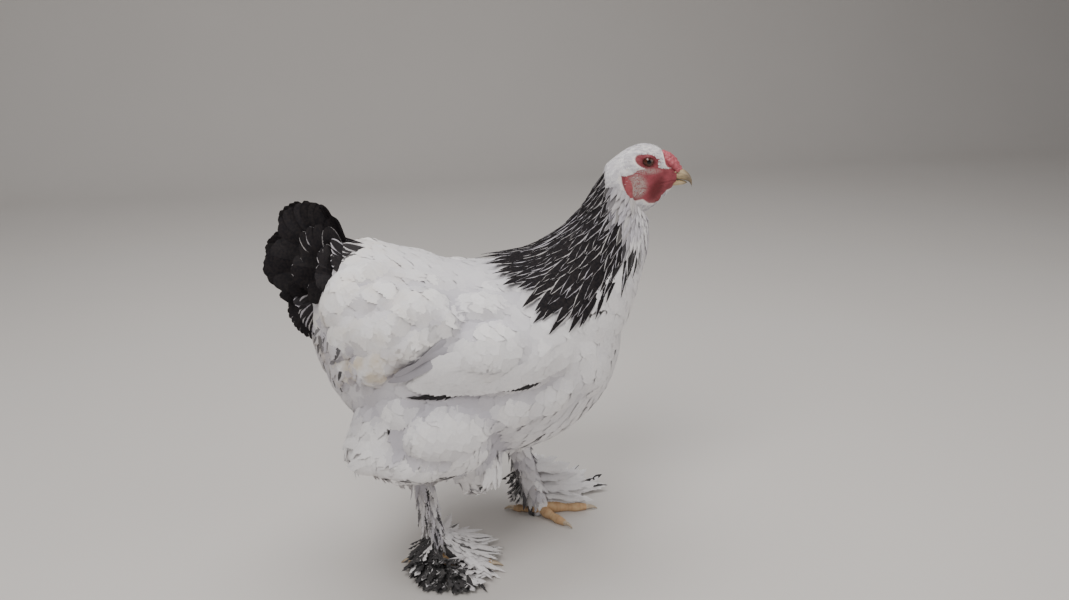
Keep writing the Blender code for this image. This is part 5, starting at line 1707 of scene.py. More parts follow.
def tail_coat(kinds, material):
    """The upright fan of black quills, with laced coverts over its sides and under it."""
    rng = np.random.default_rng(53)
    quills = Coat("tail_feathers", 0.65)
    coverts = Coat("tail_coverts", 0.65)
    places = np.linspace(0, 1, 7)
    for tier, row in enumerate(TAIL_FANS):
        count, rises, splays, lengths, root, width, dark, reach, laced_share, kind = row
        shares = np.linspace(0, 1, count)
        for side in (1, -1):
            rise = between(rises, shares) + rng.uniform(-0.8, 0.8, count)
            splay = between(splays, shares)
            length = np.interp(rise, *np.array(TAIL_REACH).T) * between(lengths, shares)
            length = length * varied(rng, count, 0.006)
            direction = fan_direction(rise, splay, side)
            next_rise = rise + (rises[1] - rises[0]) / count
            ahead = fan_direction(next_rise, splay + (splays[1] - splays[0]) / count, side)
            down = unit(ahead - direction)
            down[:, 1] += side * TAIL_ROOF * np.clip(rise, 0, None) / rises[0]
            down = flattened(down, direction)
            out = np.cross(down, direction)
            across = unit(down - TAIL_ROLL * side * out)
            normal = unit(np.cross(direction, across))
            flip = np.where(normal[:, 1] * side < 0, -1.0, 1.0)[:, None]
            across, normal = across * flip, normal * flip
            start = np.array([root[0], side * root[1], root[2]])
            curl = TAIL_CURL * length[:, None] * places ** 2
            run = (places * length[:, None])[..., None] * direction[:, None]
            spines = start + run - curl[..., None] * normal[:, None]
            sides = np.repeat(across[:, None], len(places), axis=1)
            normals = np.repeat(normal[:, None], len(places), axis=1)
            widths = width * varied(rng, count, 0.05)
            laced = np.where(rng.random(count) < laced_share, reach + rng.uniform(-0.02, 0.03, count), 1.5)
            tone = np.clip(dark + rng.uniform(-0.02, 0.01, count), 0, 1)
            mark = marks(count, tone, laced, 0.0, rng.random(count))
            bake = np.stack([0.5 + side * (0.03 + 0.42 * shares), np.full(count, 0.1 + 0.18 * tier)], axis=1)
            coat = quills if tier == 0 else coverts
            add_laid(coat, kinds[kind], rng, spines, sides, normals, widths, mark, bake, places, camber=0.10)
    quills.finish(material, ("tail",))
    coverts.finish(material, ())


# Head

def polygon_depth(points, corners):
    """How far inside an outline places are in side view, in metres, and below zero outside it."""
    corners = np.array(corners)
    inside = np.zeros(len(points), bool)
    nearest = np.full(len(points), 9.0)
    x, z = points.T
    for start, end in zip(corners, np.roll(corners, -1, axis=0)):
        crosses = (start[1] > z) != (end[1] > z)
        rise = end[1] - start[1] if end[1] != start[1] else 1e-9
        inside ^= crosses & (x < (end[0] - start[0]) * (z - start[1]) / rise + start[0])
        run = end - start
        share = np.clip(((points - start) @ run) / (run @ run), 0, 1)
        nearest = np.minimum(nearest, np.linalg.norm(points - start - share[:, None] * run, axis=1))
    return np.where(inside, nearest, -nearest)


def ellipse_value(points, centre, half):
    """How far out places lie in side view: 1 on the ellipse's outline."""
    return np.hypot((points[:, 0] - centre[0]) / half[0], (points[:, 1] - centre[1]) / half[1])


def face_marks(local):
    """Bare, deep-red and pale shares of places given ahead of, beside and above the head's pivot.
    Round the eye's opening, the deep share is painted shade.
    """
    flat = local[:, [0, 2]]
    cheek = smoothstep(polygon_depth(flat, CHEEK), -0.0006, 0.0008)
    x, z = (flat - np.array(EYE_FLAT)).T
    patch = np.hypot((x * 0.97 - z * 0.22) / EYE_PATCH[0], (z * 0.97 + x * 0.22) / EYE_PATCH[1])
    patch = 1 - smoothstep(patch, 0.93, 1.06)
    comb = smoothstep(polygon_depth(flat, COMB_PATCH), -0.0004, 0.0006)
    bare = np.maximum(np.maximum(cheek, patch), comb)
    away = flat - np.array(DEEP_PATCH[:2])
    c, s = math.cos(DEEP_SLOPE), math.sin(DEEP_SLOPE)
    along, aside = away[:, 0] * c + away[:, 1] * s, away[:, 1] * c - away[:, 0] * s
    deep = 1 - smoothstep(np.hypot(along / DEEP_PATCH[2], aside / DEEP_PATCH[3]), 0.35, 1.15)
    lobe = 1 - smoothstep(ellipse_value(flat, (0.0020, 0.3960), (0.0050, 0.0130)), 0.60, 1.10)
    under_eye = 1 - smoothstep(ellipse_value(flat, UNDER_EYE_PATCH[:2], UNDER_EYE_PATCH[2:]), 0.3, 1.1)
    pale = 1 - smoothstep(ellipse_value(flat, PALE_PATCH[:2], PALE_PATCH[2:]), 0.55, 1.20)
    pale = np.maximum(pale, 0.7 * under_eye)
    pale = np.maximum(pale, 0.35 * smoothstep(-flat[:, 1], -0.380, -0.372))
    # Painted shade: the skin darkens towards the eye's opening, as shade in its recess
    eye_recess_shade = 1 - smoothstep(ellipse_value(flat, EYE_FLAT, EYE_OPENING), 1.0, 2.1)
    deep = np.maximum(np.maximum(deep, 0.3 * lobe), np.maximum(0.35 * patch, 0.95 * eye_recess_shade))
    return bare, deep * bare, pale * bare


# Soft mounds on the face, as centre and half size in side view: the brow, and the corner of the mouth
BROW = ((0.0215, 0.4232), (0.0095, 0.0026))
BROW_RISE = 0.0010
GAPE = ((0.0385, 0.3948), (0.0035, 0.0022))
GAPE_RISE = 0.0006
MOUTH_DEPTH = 0.0008
# Ridges round the eye: how far out against its opening, rise and breadth
LID_RIDGES = ((1.20, 0.0006, 0.16), (1.62, 0.0003, 0.13), (2.05, 0.00022, 0.14))
LID_THICKNESS = 0.0005
OPENING_DEPTH = 0.0062


def head_form():
    """The head's skin: its loft with brow, lids, folds round the eye and the corner of the mouth."""
    rows = smooth_rows(HEAD_SECTIONS, 18)
    rings = upright_rings(rows, 168, HEAD_ROUNDNESS)
    points = rings.reshape(-1, 3)
    along = np.gradient(rings, axis=0)
    around = np.roll(rings, -1, axis=1) - np.roll(rings, 1, axis=1)
    normals = unit(np.cross(around, along)).reshape(-1, 3)
    middle = rings.mean(axis=1, keepdims=True).repeat(rings.shape[1], axis=1).reshape(-1, 3)
    normals *= np.sign(((points - middle) * normals).sum(axis=1, keepdims=True))
    side = np.sign(points[:, 1])
    flat = points[:, [0, 2]]
    facing = smoothstep(np.abs(normals[:, 1]), 0.20, 0.50)
    bare = face_marks(points)[0]
    grain = np.array([noise.noise(Vector(p) * 700.0) for p in points.tolist()])
    folds = np.array([noise.noise(Vector((x * 180.0, y * 180.0, z * 420.0))) for x, y, z in points.tolist()])
    lift = bare * (0.00016 * grain + 0.00034 * folds) - 0.0005 * bare
    lift += BROW_RISE * swelling(flat, *BROW) * facing
    mouth_line = 0.3962 - 0.35 * np.clip(0.047 - flat[:, 0], 0, 1) * 0.4
    crease = np.exp(-((flat[:, 1] - mouth_line) / 0.0007) ** 2) * smoothstep(flat[:, 0], 0.0330, 0.0370)
    lift -= MOUTH_DEPTH * crease * facing
    lift += GAPE_RISE * swelling(flat, *GAPE) * facing
    points = points + normals * lift[:, None]
    points[:, 1] = side * lidded(flat, np.abs(points[:, 1]), facing)
    shape = loft(points.reshape(rings.shape), (HEAD_BACK, HEAD_FRONT))
    return head_shape(shape)


def swelling(flat, centre, half):
    """A soft mound in side view: 1 at its centre and near 0 outside."""
    return np.exp(-(((flat[:, 0] - centre[0]) / half[0]) ** 2 + ((flat[:, 1] - centre[1]) / half[1]) ** 2))


def lidded(flat, own, facing):
    """How far aside the face's skin lies, with ridges round the eye, its lids and the gap between them."""
    value = ellipse_value(flat, EYE_FLAT, EYE_OPENING)
    for reach, rise, wide in LID_RIDGES:
        own = own + rise * np.exp(-((value - reach) / wide) ** 2) * facing
    away = flat - np.array(EYE_FLAT)
    square = np.clip((EYE_RADIUS + LID_THICKNESS) ** 2 - (away ** 2).sum(axis=1), 0, None)
    lid = EYE_CENTRE[1] + np.sqrt(square)
    wrap = (1 - smoothstep(value, 1.25, 1.75)) * facing
    raised = np.maximum(own, np.where(square > 0, lid, 0.0))
    own = own + (raised - own) * wrap
    return own - OPENING_DEPTH * (1 - smoothstep(value, 0.90, 1.02)) * facing


# Picks one pattern of lumps, the same each run
LUMP_SEED = 5


def noisy(verts, amount, scale):
    """Points moved a little each way."""
    noise.seed_set(LUMP_SEED)
    moves = [noise.noise_vector(Vector(point) * scale) for point in verts.tolist()]
    return verts + amount * np.array(moves)


def grey(values):
    """Vertex colours that say one value for each vertex."""
    return np.column_stack([values, values, values, np.ones(len(values))])


def plain_piece(name, arrays, material, replaced, shade=None):
    """A bare piece of the bird that replaces these nodes."""
    obj = mesh_object(name, *arrays, material)
    if shade is not None:
        add_colours(obj.data, "shade", shade)
    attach(obj, "root")
    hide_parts(*replaced)


COMB_VOXEL = 0.00045
FLAP_VOXEL = 0.0006
# Bulbs of an ear lobe and of a wattle: how far ahead, aside and above its centre, and their share of its size
EARLOBE_BULBS = ((0.0, 0.0, 0.0, 1.0), (-0.0024, 0.0, 0.0075, 0.62), (0.0016, 0.0, -0.0070, 0.66))
WATTLE_BULBS = ((0.0, 0.0, 0.0, 1.0), (0.0035, -0.0008, 0.0048, 0.62), (-0.0030, 0.0004, 0.0030, 0.62))


def face_pieces():
    """Comb, ear lobes, wattles, eyes and beak."""
    comb_piece()
    earlobe_red = flesh_material("lobe flesh", EARLOBE_REDS)
    wattle_red = flesh_material("wattle flesh", WATTLE_REDS)
    for name, side in (("left", 1), ("right", -1)):
        flap_piece(f"earlobe_{name}", side, EARLOBE_CENTRE, EARLOBE_SIZE, EARLOBE_BULBS, earlobe_red)
        flap_piece(f"wattle_{name}", side, WATTLE_CENTRE, WATTLE_SIZE, WATTLE_BULBS, wattle_red)
    eye_pieces()
    beak_pieces()


def comb_piece():
    """Three rows of bumps, grown together and lumpy."""
    rng = np.random.default_rng(59)
    shapes = []
    for aside, drop in COMB_ROWS:
        for bump in range(COMB_BUMPS):
            share = bump / (COMB_BUMPS - 1)
            swell = math.sin(share * math.pi)
            x = COMB_START[0] + share * (COMB_END[0] - COMB_START[0])
            z = COMB_START[1] + share * (COMB_END[1] - COMB_START[1]) + COMB_ARCH * swell - drop - 0.0008
            size = 0.0024 + 0.0010 * swell
            size *= rng.uniform(0.90, 1.10)
            place = (x, aside * (0.6 + 0.5 * swell), z)
            shapes.append(head_shape(ball(place, (size, size * 0.95, size * 1.05), 14, 9)))
    verts, faces, _ = remeshed(merged(shapes), COMB_VOXEL, 9)
    comb_red = flesh_material("comb flesh", COMB_REDS, 1100.0)
    plain_piece("comb_flesh", (noisy(verts, 0.00016, 900.0), faces), comb_red, ("comb",))


def flap_piece(node, side, centre, size, bulbs, material):
    """An ear lobe or a wattle, of bulbs grown together."""
    shapes = []
    for ahead, aside, above, grow in bulbs:
        place = (centre[0] + ahead, side * (centre[1] + aside), centre[2] + above)
        shapes.append(head_shape(ball(place, np.array(size) * grow, 20, 12)))
    verts, faces, _ = remeshed(merged(shapes), FLAP_VOXEL, 3)
    plain_piece(f"{node}_flesh", (noisy(verts, 0.00035, 420.0), faces), material, (node,))


def eye_pieces():
    """Both eyeballs, each with a slight bulge over iris and pupil."""
    material = eye_material()
    for name, side in (("left", 1), ("right", -1)):
        centre = np.array([EYE_CENTRE[0], side * EYE_CENTRE[1], EYE_CENTRE[2]])
        verts, faces = ball(centre, (EYE_RADIUS,) * 3, 64, 48)
        axis = unit(np.array([0.10, side, 0.03]))
        away = verts - centre
        forward = away @ axis
        ring = np.linalg.norm(away - forward[:, None] * axis, axis=1) / EYE_RADIUS
        ring = np.where(forward > 0, ring, 1.0)
        verts = verts + axis * (0.0004 * (1 - smoothstep(ring, 0.0, 0.60)))[:, None]
        plain_piece(f"eyeball_{name}", (in_head(verts), faces), material, (f"eye_{name}",), grey(ring))


NOSTRIL_HALF = (0.0019, 0.0008)


def beak_pieces():
    """The beak's two halves, with nostrils under their flaps and the edge of the mouth."""
    material = horn_material("beak horn", BEAK_HORN, 0.85)
    for name, sections, tip in (("upper", UPPER_BEAK, UPPER_BEAK_TIP), ("lower", LOWER_BEAK, LOWER_BEAK_TIP)):
        rings = upright_rings(smooth_rows(sections, 9), 72, 2.2)
        points = rings.reshape(-1, 3)
        side = np.sign(points[:, 1])
        if name == "upper":
            flat = points[:, [0, 2]]
            hole = ellipse_value(flat, NOSTRIL, NOSTRIL_HALF)
            flap = ellipse_value(flat, (NOSTRIL[0] - 0.0002, NOSTRIL[1] + 0.0011), (0.0028, 0.0013))
            facing = smoothstep(np.abs(points[:, 1]), 0.0030, 0.0048)
            move = 0.0005 * (1 - smoothstep(flap, 0.4, 1.2)) - 0.0014 * (1 - smoothstep(hole, 0.6, 1.1))
            points[:, 1] += side * move * facing
        first = sections[0]
        poles = ((first[0] - 0.001, 0, (first[1] + first[2]) / 2), tip)
        verts, faces = loft(points.reshape(rings.shape), poles)
        shade = smoothstep(verts[:, 0], 0.0560, 0.0650) * 0.9
        if name == "upper":
            culmen = np.interp(verts[:, 0], [row[0] for row in sections], [row[1] for row in sections])
            shade = np.maximum(shade, 0.35 * smoothstep(verts[:, 2] - culmen, -0.0022, -0.0004))
            # Painted shade: the nostril's hole is darkened
            nostril_shade = 1 - smoothstep(ellipse_value(verts[:, [0, 2]], NOSTRIL, NOSTRIL_HALF), 0.6, 1.1)
            shade = np.maximum(shade, nostril_shade)
        node = f"beak_{name}"
        plain_piece(f"{node}_horn", (in_head(verts), faces), material, (node,), grey(shade))


def out_of_head(points):
    """Places ahead of, beside and above the head's pivot."""
    c, s = math.cos(HEAD_YAW), math.sin(HEAD_YAW)
    x, y = points[:, 0] - HEAD_PIVOT[0], points[:, 1] - HEAD_PIVOT[1]
    return np.stack([x * c + y * s, -x * s + y * c, points[:, 2]], axis=1)


TUFT_THICKNESS = 0.00020


def head_coat(shape, kinds, material):
    """Short white feathers over crown, nape, cheek patch and throat, and a few on the pale cheek."""
    rng = np.random.default_rng(61)
    obj = mesh_object("blank", *shape, None)
    guide = Guide(mesh_arrays(obj.data))
    bpy.data.objects.remove(obj)

    def spacing(points):
        local = out_of_head(points)
        return 0.00150 + 0.0009 * smoothstep(face_marks(local)[0], 0.3, 0.7)

    def keep(points):
        local = out_of_head(points)
        bare, _, pale = face_marks(local)
        eye = ellipse_value(local[:, [0, 2]], EYE_FLAT, EYE_OPENING) > 1.6
        few = np.where(bare < 0.45, 1.0, np.where(pale > 0.40, 0.12, 0.0))
        return few * eye * (local[:, 0] < 0.047)

    roots = guide.scatter(rng, spacing, keep)
    local = out_of_head(roots)
    bare, _, pale = face_marks(local)
    count = len(roots)
    low = smoothstep(-local[:, 2], -0.398, -0.380)
    fall = -0.10 - 1.3 * low - 0.5 * smoothstep(-local[:, 0], 0.0, 0.012)
    ways = np.column_stack([np.full(count, -1.0), np.zeros(count), fall])
    ways = turn_in_head(ways) + rng.normal(0, 0.13, (count, 3))
    back = smoothstep(-local[:, 0], -0.030, 0.005)
    lengths = (0.0036 + 0.0036 * back + 0.0012 * low) * varied(rng, count, 0.15)
    lengths = np.where(bare > 0.45, 0.0030, lengths)
    lifts = np.interp(STATIONS, (0, 0.5, 1), (-0.0006, 0.0003, 0.0007))[None]
    lifts = lifts * varied(rng, count, 0.3, 0.5)[:, None]
    spines, sides, normals = laid(guide, roots, ways, lengths, lifts, 0.25)
    widths = np.where(bare > 0.45, 0.0005, lengths * 0.55)
    turn = np.arctan2(local[:, 1], local[:, 2] - 0.396) / (2 * math.pi) + 0.5
    run = np.clip((local[:, 0] + 0.021) / 0.075, 0, 1)
    coat = Coat("face_plumage", 0.70)
    mark = marks(count, 0.0, 1.5, 0.03, rng.random(count))
    add_laid(coat, kinds["tuft"], rng, spines, sides, normals, widths, mark, unwrapped(run, turn),
             camber=0.10, thickness=TUFT_THICKNESS)
    coat.finish(material, ())


def make_skin(head, material):
    """One skin under the coat, with the bare face."""
    shapes = body_shapes() + [shank_shape(name) for name in LEGS]
    verts, faces, normals = remeshed(merged(shapes), SKIN_VOXEL, 5)
    depth = COAT_DEPTH * smoothstep(verts[:, 2], 0.060, 0.125) + THIN_COAT_DEPTH
    skin = mesh_object("skin", verts - normals * depth[:, None], faces, material)
    mesh = fused(skin, [mesh_object("blank", *head, material)])
    verts = mesh_arrays(mesh)[0]
    local = out_of_head(verts)
    bare, deep, pale = face_marks(local)
    on_head = (local[:, 0] > -0.012) & (np.abs(local[:, 1]) < 0.024) & (verts[:, 2] > 0.368)
    marked = np.stack([bare, deep, pale], axis=1) * on_head[:, None]
    neck = smoothstep(verts[:, 0], 0.03, 0.07) * smoothstep(verts[:, 2], 0.285, 0.31) * ~on_head
    neck = neck * (1 - smoothstep(verts[:, 0], 0.128, 0.150))
    tail = smoothstep(-verts[:, 0], 0.135, 0.150) * smoothstep(verts[:, 2], 0.295, 0.310)
    dark = np.maximum(0.6 * neck, 0.9 * tail)
    add_colours(mesh, "face", np.column_stack([marked, dark]))
    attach(skin, "root")
    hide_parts("torso", "head", "thigh_left", "thigh_right", "shank_left", "shank_right")


# Legs and feet

# Rings of the meshes of toes and claws, and how many sides they have
TOE_RINGS = 90
TOE_SIDES = 36
CLAW_RINGS = 24
CLAW_SIDES = 20
ANKLE_RINGS = 40
PADS_PER_TOE = 2.5
ANKLE_LENGTH = 0.040


def toe_lines(name):
    """Each toe's name, line of centres and radii, and its claw's."""
    leg = LEGS[name]
    joint = np.array([*leg["foot"], 0.0])
    made = []
    for toe_name, angle, length, root_radius, tip_radius, claw_length in TOES:
        heading = math.radians(leg["heading"] + leg["side"] * angle)
        ahead = np.array([math.cos(heading), math.sin(heading), 0.0])
        shares = np.linspace(0, 1, TOE_RINGS)
        swell = 1 + 0.05 * np.cos(shares * PADS_PER_TOE * 2 * math.pi)
        radii = between((root_radius, tip_radius), shares) * swell
        points = joint + np.outer(shares * length, ahead)
        points[:, 2] = radii * 0.82 + 0.004 * (1 - shares) ** 3
        claw_shares = np.linspace(0, 1, CLAW_RINGS)
        end = points[-1] + ahead * tip_radius * 0.1
        claw = end + np.outer(claw_shares * claw_length, ahead)
        claw[:, 2] = 0.0036 + 0.0016 * np.sin(claw_shares * math.pi) - 0.0026 * claw_shares
        claw_radii = 0.0027 * (1 - 0.80 * claw_shares ** 1.3)
        made.append((toe_name, points, radii, length, claw, claw_radii))
    return made


def scuted(points, radii, length):
    """A toe with overlapping scutes over its top and pads below."""
    verts, faces = tube(points, radii, TOE_SIDES)
    ring = np.arange(len(verts) - 2) // TOE_SIDES
    share = ring / (len(points) - 1)
    phase = (share * length / SCUTE_LENGTH) % 1.0
    centre = points[ring]
    away = verts[:-2] - centre
    top = smoothstep(away[:, 2] / np.linalg.norm(away, axis=1), -0.05, 0.35)
    rise = 0.00026 * (phase ** 0.6 - 0.9 * (phase > 0.93)) * top
    pads = 0.0005 * np.cos(share * PADS_PER_TOE * 2 * math.pi) * (1 - top)
    verts[:-2] += unit(away) * (rise + pads)[:, None]
    return verts, faces


def foot_pieces(name, toe_skin, horn):
    """A foot's scaled skin, of toes, pad and ankle in one, and its claws."""
    shapes, claws = [], []
    for _, points, radii, length, claw, claw_radii in toe_lines(name):
        shapes.append(scuted(points, radii, length))
        claws.append(tube(claw, claw_radii, CLAW_SIDES))
    hock, joint = leg_line(name)
    axis = unit(joint - hock)
    ankle = joint + np.outer(np.linspace(0.010 - ANKLE_LENGTH, 0.010, ANKLE_RINGS), axis)
    shapes.append(scuted(ankle, 0.0080 + 0.0016 * np.linspace(0, 1, ANKLE_RINGS), ANKLE_LENGTH))
    shapes.append(ball((joint[0], joint[1], 0.010), (0.0108, 0.0108, 0.0098), 36, 24))
    foot = mesh_object(f"foot_{name}_skin", *shapes[0], toe_skin)
    mesh = fused(foot, [mesh_object("blank", *shape, toe_skin) for shape in shapes[1:]])
    verts = mesh_arrays(mesh)[0]
    verts[:, 2] = np.maximum(verts[:, 2], 0.0)
    mesh.vertices.foreach_set("co", verts.astype(np.float32).ravel())
    mesh.shade_smooth()
    seam = np.zeros(len(verts))
    for _, points, radii, length, _, _ in toe_lines(name):
        away = np.linalg.norm(verts[:, None, :2] - points[None, ::3, :2], axis=2)
        nearest = away.argmin(axis=1) * 3 / (len(points) - 1)
        phase = (nearest * length / SCUTE_LENGTH) % 1.0
        edge = np.maximum(1 - smoothstep(phase, 0.0, 0.22), smoothstep(phase, 0.80, 0.95))
        seam = np.where(away.min(axis=1) < 0.008, np.maximum(seam, edge), seam)
    under = 1 - smoothstep(verts[:, 2], 0.0005, 0.0035)
    add_colours(mesh, "shade", np.column_stack([seam, under, seam, np.ones(len(seam))]))
    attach(foot, "root")
    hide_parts(f"foot_{name}")
    verts, faces = merged(claws)
    one_claw = np.append(np.repeat(np.linspace(0, 1, CLAW_RINGS), CLAW_SIDES), (0.0, 1.0))
    shade = smoothstep(np.tile(one_claw, len(claws)), 0.1, 0.9)
    verts[:, 2] = np.maximum(verts[:, 2], 0.0)
    nodes = [f"claw_{name}_{toe[0]}" for toe in TOES]
    plain_piece(f"claws_{name}", (verts, faces), horn, nodes, grey(shade))


# Rings of feathers on a shank, how many in each, and how far down its line they reach
SHANK_TIER_COUNT = 13
SHANK_RING_COUNT = 20
SHANK_REACH = {"right": 0.98, "left": 1.06}
SHANK_KINDS = {"right": "wisp", "left": "plume"}
SHANK_WIDTHS = {"right": 0.0085, "left": 0.0115}
SHANK_BUSHY = {"right": 0.0, "left": 1.0}
# How far shank and foot feathers stay above the floor
SHANK_CLEARANCE = 0.0006
FOOT_CLEARANCE = 0.0005


def along_stations(vectors):
    """The same vectors at each of the feathers' stations."""
    return np.repeat(vectors[:, None], len(STATIONS), axis=1)


def straight_feathers(roots, directions, across, lengths, droop, roll=0.0):
    """Spines, sides and normals of feathers that run straight, sagging by a share of their length, and rolled
    about their shafts."""
    across = flattened(across, directions)
    normals = unit(np.cross(directions, across))
    flip = np.where(normals[:, 2] < 0, -1.0, 1.0)[:, None]
    across, normals = across * flip, normals * flip
    c, s = math.cos(roll), math.sin(roll)
    across, normals = across * c + normals * s, normals * c - across * s
    spines = roots[:, None] + (STATIONS * lengths[:, None])[..., None] * directions[:, None]
    spines[..., 2] -= droop[:, None] * lengths[:, None] * STATIONS ** 2
    return spines, along_stations(across), along_stations(normals)


def shank_coat(name, kinds, material):
    """Feathers down the shank, longest behind and on its outer side."""
    rng = np.random.default_rng(67)
    leg = LEGS[name]
    hock, joint = leg_line(name)
    axis = unit(joint - hock)
    outward = unit(np.cross(axis, (1.0, 0.0, 0.0)))
    outward = outward * np.sign(outward[1]) * leg["side"]
    forward = np.cross(outward, axis)
    forward = forward * np.sign(forward[0])
    tiers = np.repeat(np.arange(SHANK_TIER_COUNT), SHANK_RING_COUNT)
    count = len(tiers)
    place = (tiers + rng.uniform(-0.4, 0.4, count)) / SHANK_TIER_COUNT * SHANK_REACH[name]
    turn = np.tile(np.arange(SHANK_RING_COUNT), SHANK_TIER_COUNT) + rng.uniform(-0.4, 0.4, count)
    turn = turn / SHANK_RING_COUNT * 2 * math.pi
    away = np.cos(turn)[:, None] * outward + np.sin(turn)[:, None] * forward
    bushy = SHANK_BUSHY[name]
    behind = smoothstep(-np.sin(turn), 0.2, 0.9)
    outer = smoothstep(np.cos(turn), 0.0, 0.9)
    roots = hock + place[:, None] * (joint - hock) + away * 0.0065
    spread_out = 0.06 + 0.14 * outer + 0.10 * behind + 0.10 * bushy
    directions = unit(axis + spread_out[:, None] * away + rng.normal(0, 0.05, (count, 3)))
    lengths = (0.022 + 0.006 * outer + 0.006 * behind + 0.005 * bushy) * varied(rng, count, 0.15)
    across = np.cross(axis, away)
    spines, _, _ = straight_feathers(roots, directions, across, lengths, np.zeros(count))
    sides = along_stations(unit(np.cross(away, directions)))
    normals = along_stations(unit(np.cross(directions, sides[:, 0])))
    if name == "right":
        dark = np.where(rng.random(count) < 0.22 + 0.55 * place, rng.uniform(0.6, 0.97, count), 0.0)
        reach = rng.uniform(0.25, 0.75, count)
    else:
        dusky = (np.sin(turn) < -0.84) & (rng.random(count) < 0.70)
        dark = np.where(dusky, rng.uniform(0.6, 0.95, count), 0.0)
        reach = rng.uniform(0.5, 1.0, count)
    bake = unwrapped((turn / (2 * math.pi)) % 1.0, np.clip(place, 0, 1))
    coat = Coat(f"shank_feathers_{name}", 0.75)
    widths = SHANK_WIDTHS[name] * varied(rng, count, 0.2)
    mark = marks(count, dark, reach, 0.10, rng.random(count))
    add_laid(coat, kinds[SHANK_KINDS[name]], rng, spines, sides, normals, widths, mark, bake)
    coat.finish(material, (), SHANK_CLEARANCE)


# Tiers of foot feathers: count, kind, width, first and last place on the ridge, first and last angle outwards
# from the middle toe, first and last length, and the height of the tips
FOOT_TIERS = {
    "right": (
        (18, "wisp", 0.0070, (0.98, 0.20), (20.0, 176.0), (0.024, 0.034), 0.0060),
        (44, "strand", 0.0042, (0.98, 0.20), (6.0, 184.0), (0.028, 0.034), 0.0070),
        (18, "wisp", 0.0070, (0.90, 0.20), (14.0, 170.0), (0.027, 0.028), 0.0080),
        (44, "strand", 0.0042, (0.90, 0.10), (4.0, 175.0), (0.033, 0.030), 0.0100),
        (18, "wisp", 0.0070, (0.76, 0.06), (4.0, 170.0), (0.028, 0.028), 0.0150),
        (40, "strand", 0.0042, (0.78, 0.05), (4.0, 170.0), (0.033, 0.028), 0.0180),
        (34, "strand", 0.0040, (0.62, 0.02), (6.0, 160.0), (0.030, 0.026), 0.0280),
    ),
    "left": (
        (9, "plume", 0.0130, (0.98, 0.34), (8.0, 96.0), (0.054, 0.040), 0.0060),
        (10, "plume", 0.0130, (0.88, 0.20), (14.0, 100.0), (0.058, 0.040), 0.0110),
        (8, "strand", 0.0045, (0.88, 0.15), (14.0, 116.0), (0.056, 0.038), 0.0140),
        (9, "plume", 0.0120, (0.74, 0.10), (20.0, 100.0), (0.056, 0.040), 0.0180),
    ),
}
# Feathers from the shank over the toes: count, kind, first and last height of the roots, first and last angle
# from the middle toe, first and last length, height of the tips and width
INSTEP_TIERS = {
    "right": (
        (15, "plume", (0.024, 0.020), (-84.0, 30.0), (0.052, 0.068), 0.0090, 0.0110),
        (14, "plume", (0.032, 0.028), (-78.0, 24.0), (0.056, 0.066), 0.0130, 0.0110),
        (34, "strand", (0.034, 0.030), (-80.0, 30.0), (0.040, 0.056), 0.0100, 0.0042),
        (24, "strand", (0.040, 0.036), (-60.0, 20.0), (0.034, 0.044), 0.0190, 0.0042),
    ),
    "left": (
        (9, "plume", (0.014, 0.013), (6.0, 60.0), (0.050, 0.050), 0.0140, 0.0130),
        (10, "plume", (0.023, 0.023), (2.0, 66.0), (0.056, 0.052), 0.0220, 0.0130),
        (10, "plume", (0.034, 0.034), (0.0, 72.0), (0.056, 0.050), 0.0320, 0.0130),
        (9, "plume", (0.046, 0.046), (4.0, 80.0), (0.052, 0.044), 0.0440, 0.0125),
        (8, "plume", (0.060, 0.060), (10.0, 80.0), (0.040, 0.036), 0.0540, 0.0120),
        (10, "strand", (0.030, 0.030), (0.0, 80.0), (0.060, 0.052), 0.0280, 0.0042),
    ),
}
# Which tier's strip of the unwrap the feathers from the shank, and those over the hind toe, begin at
FIRST_INSTEP_TIER = 7
FIRST_HIND_TIER = 11
# How far a foot's feathers are rolled about their shafts, and how soft they look
FOOT_ROLL = {"right": 0.0, "left": math.radians(40)}
FOOT_SOFTNESS = {"right": 0.30, "left": 0.65}


def foot_marks(name, degrees, chance, rng):
    """How dark each foot feather is and how far across: a black mass on the right foot, spots on the left."""
    count = len(degrees)
    if name == "right":
        white = (degrees < 24) | (chance < 0.12)
        dark = np.where(white, np.where(chance > 0.78, 0.8, 0.0), rng.uniform(0.92, 0.99, count))
        return dark, np.where(white, 0.30, rng.uniform(0.85, 1.5, count))
    spotted = (chance < 0.12) | ((degrees > 100) & (chance < 0.80))
    return np.where(spotted, rng.uniform(0.80, 0.97, count), 0.0), rng.uniform(0.30, 0.80, count)


# Feathers that hang over the left foot's hind toe: count, kind, height of the roots, length, height of the
# tips and width
HIND_TIERS = (
    (9, "plume", 0.034, 0.024, 0.0060, 0.0090),
    (9, "plume", 0.048, 0.026, 0.0140, 0.0090),
    (16, "strand", 0.044, 0.028, 0.0100, 0.0042),
    (12, "strand", 0.062, 0.026, 0.0280, 0.0042),
)


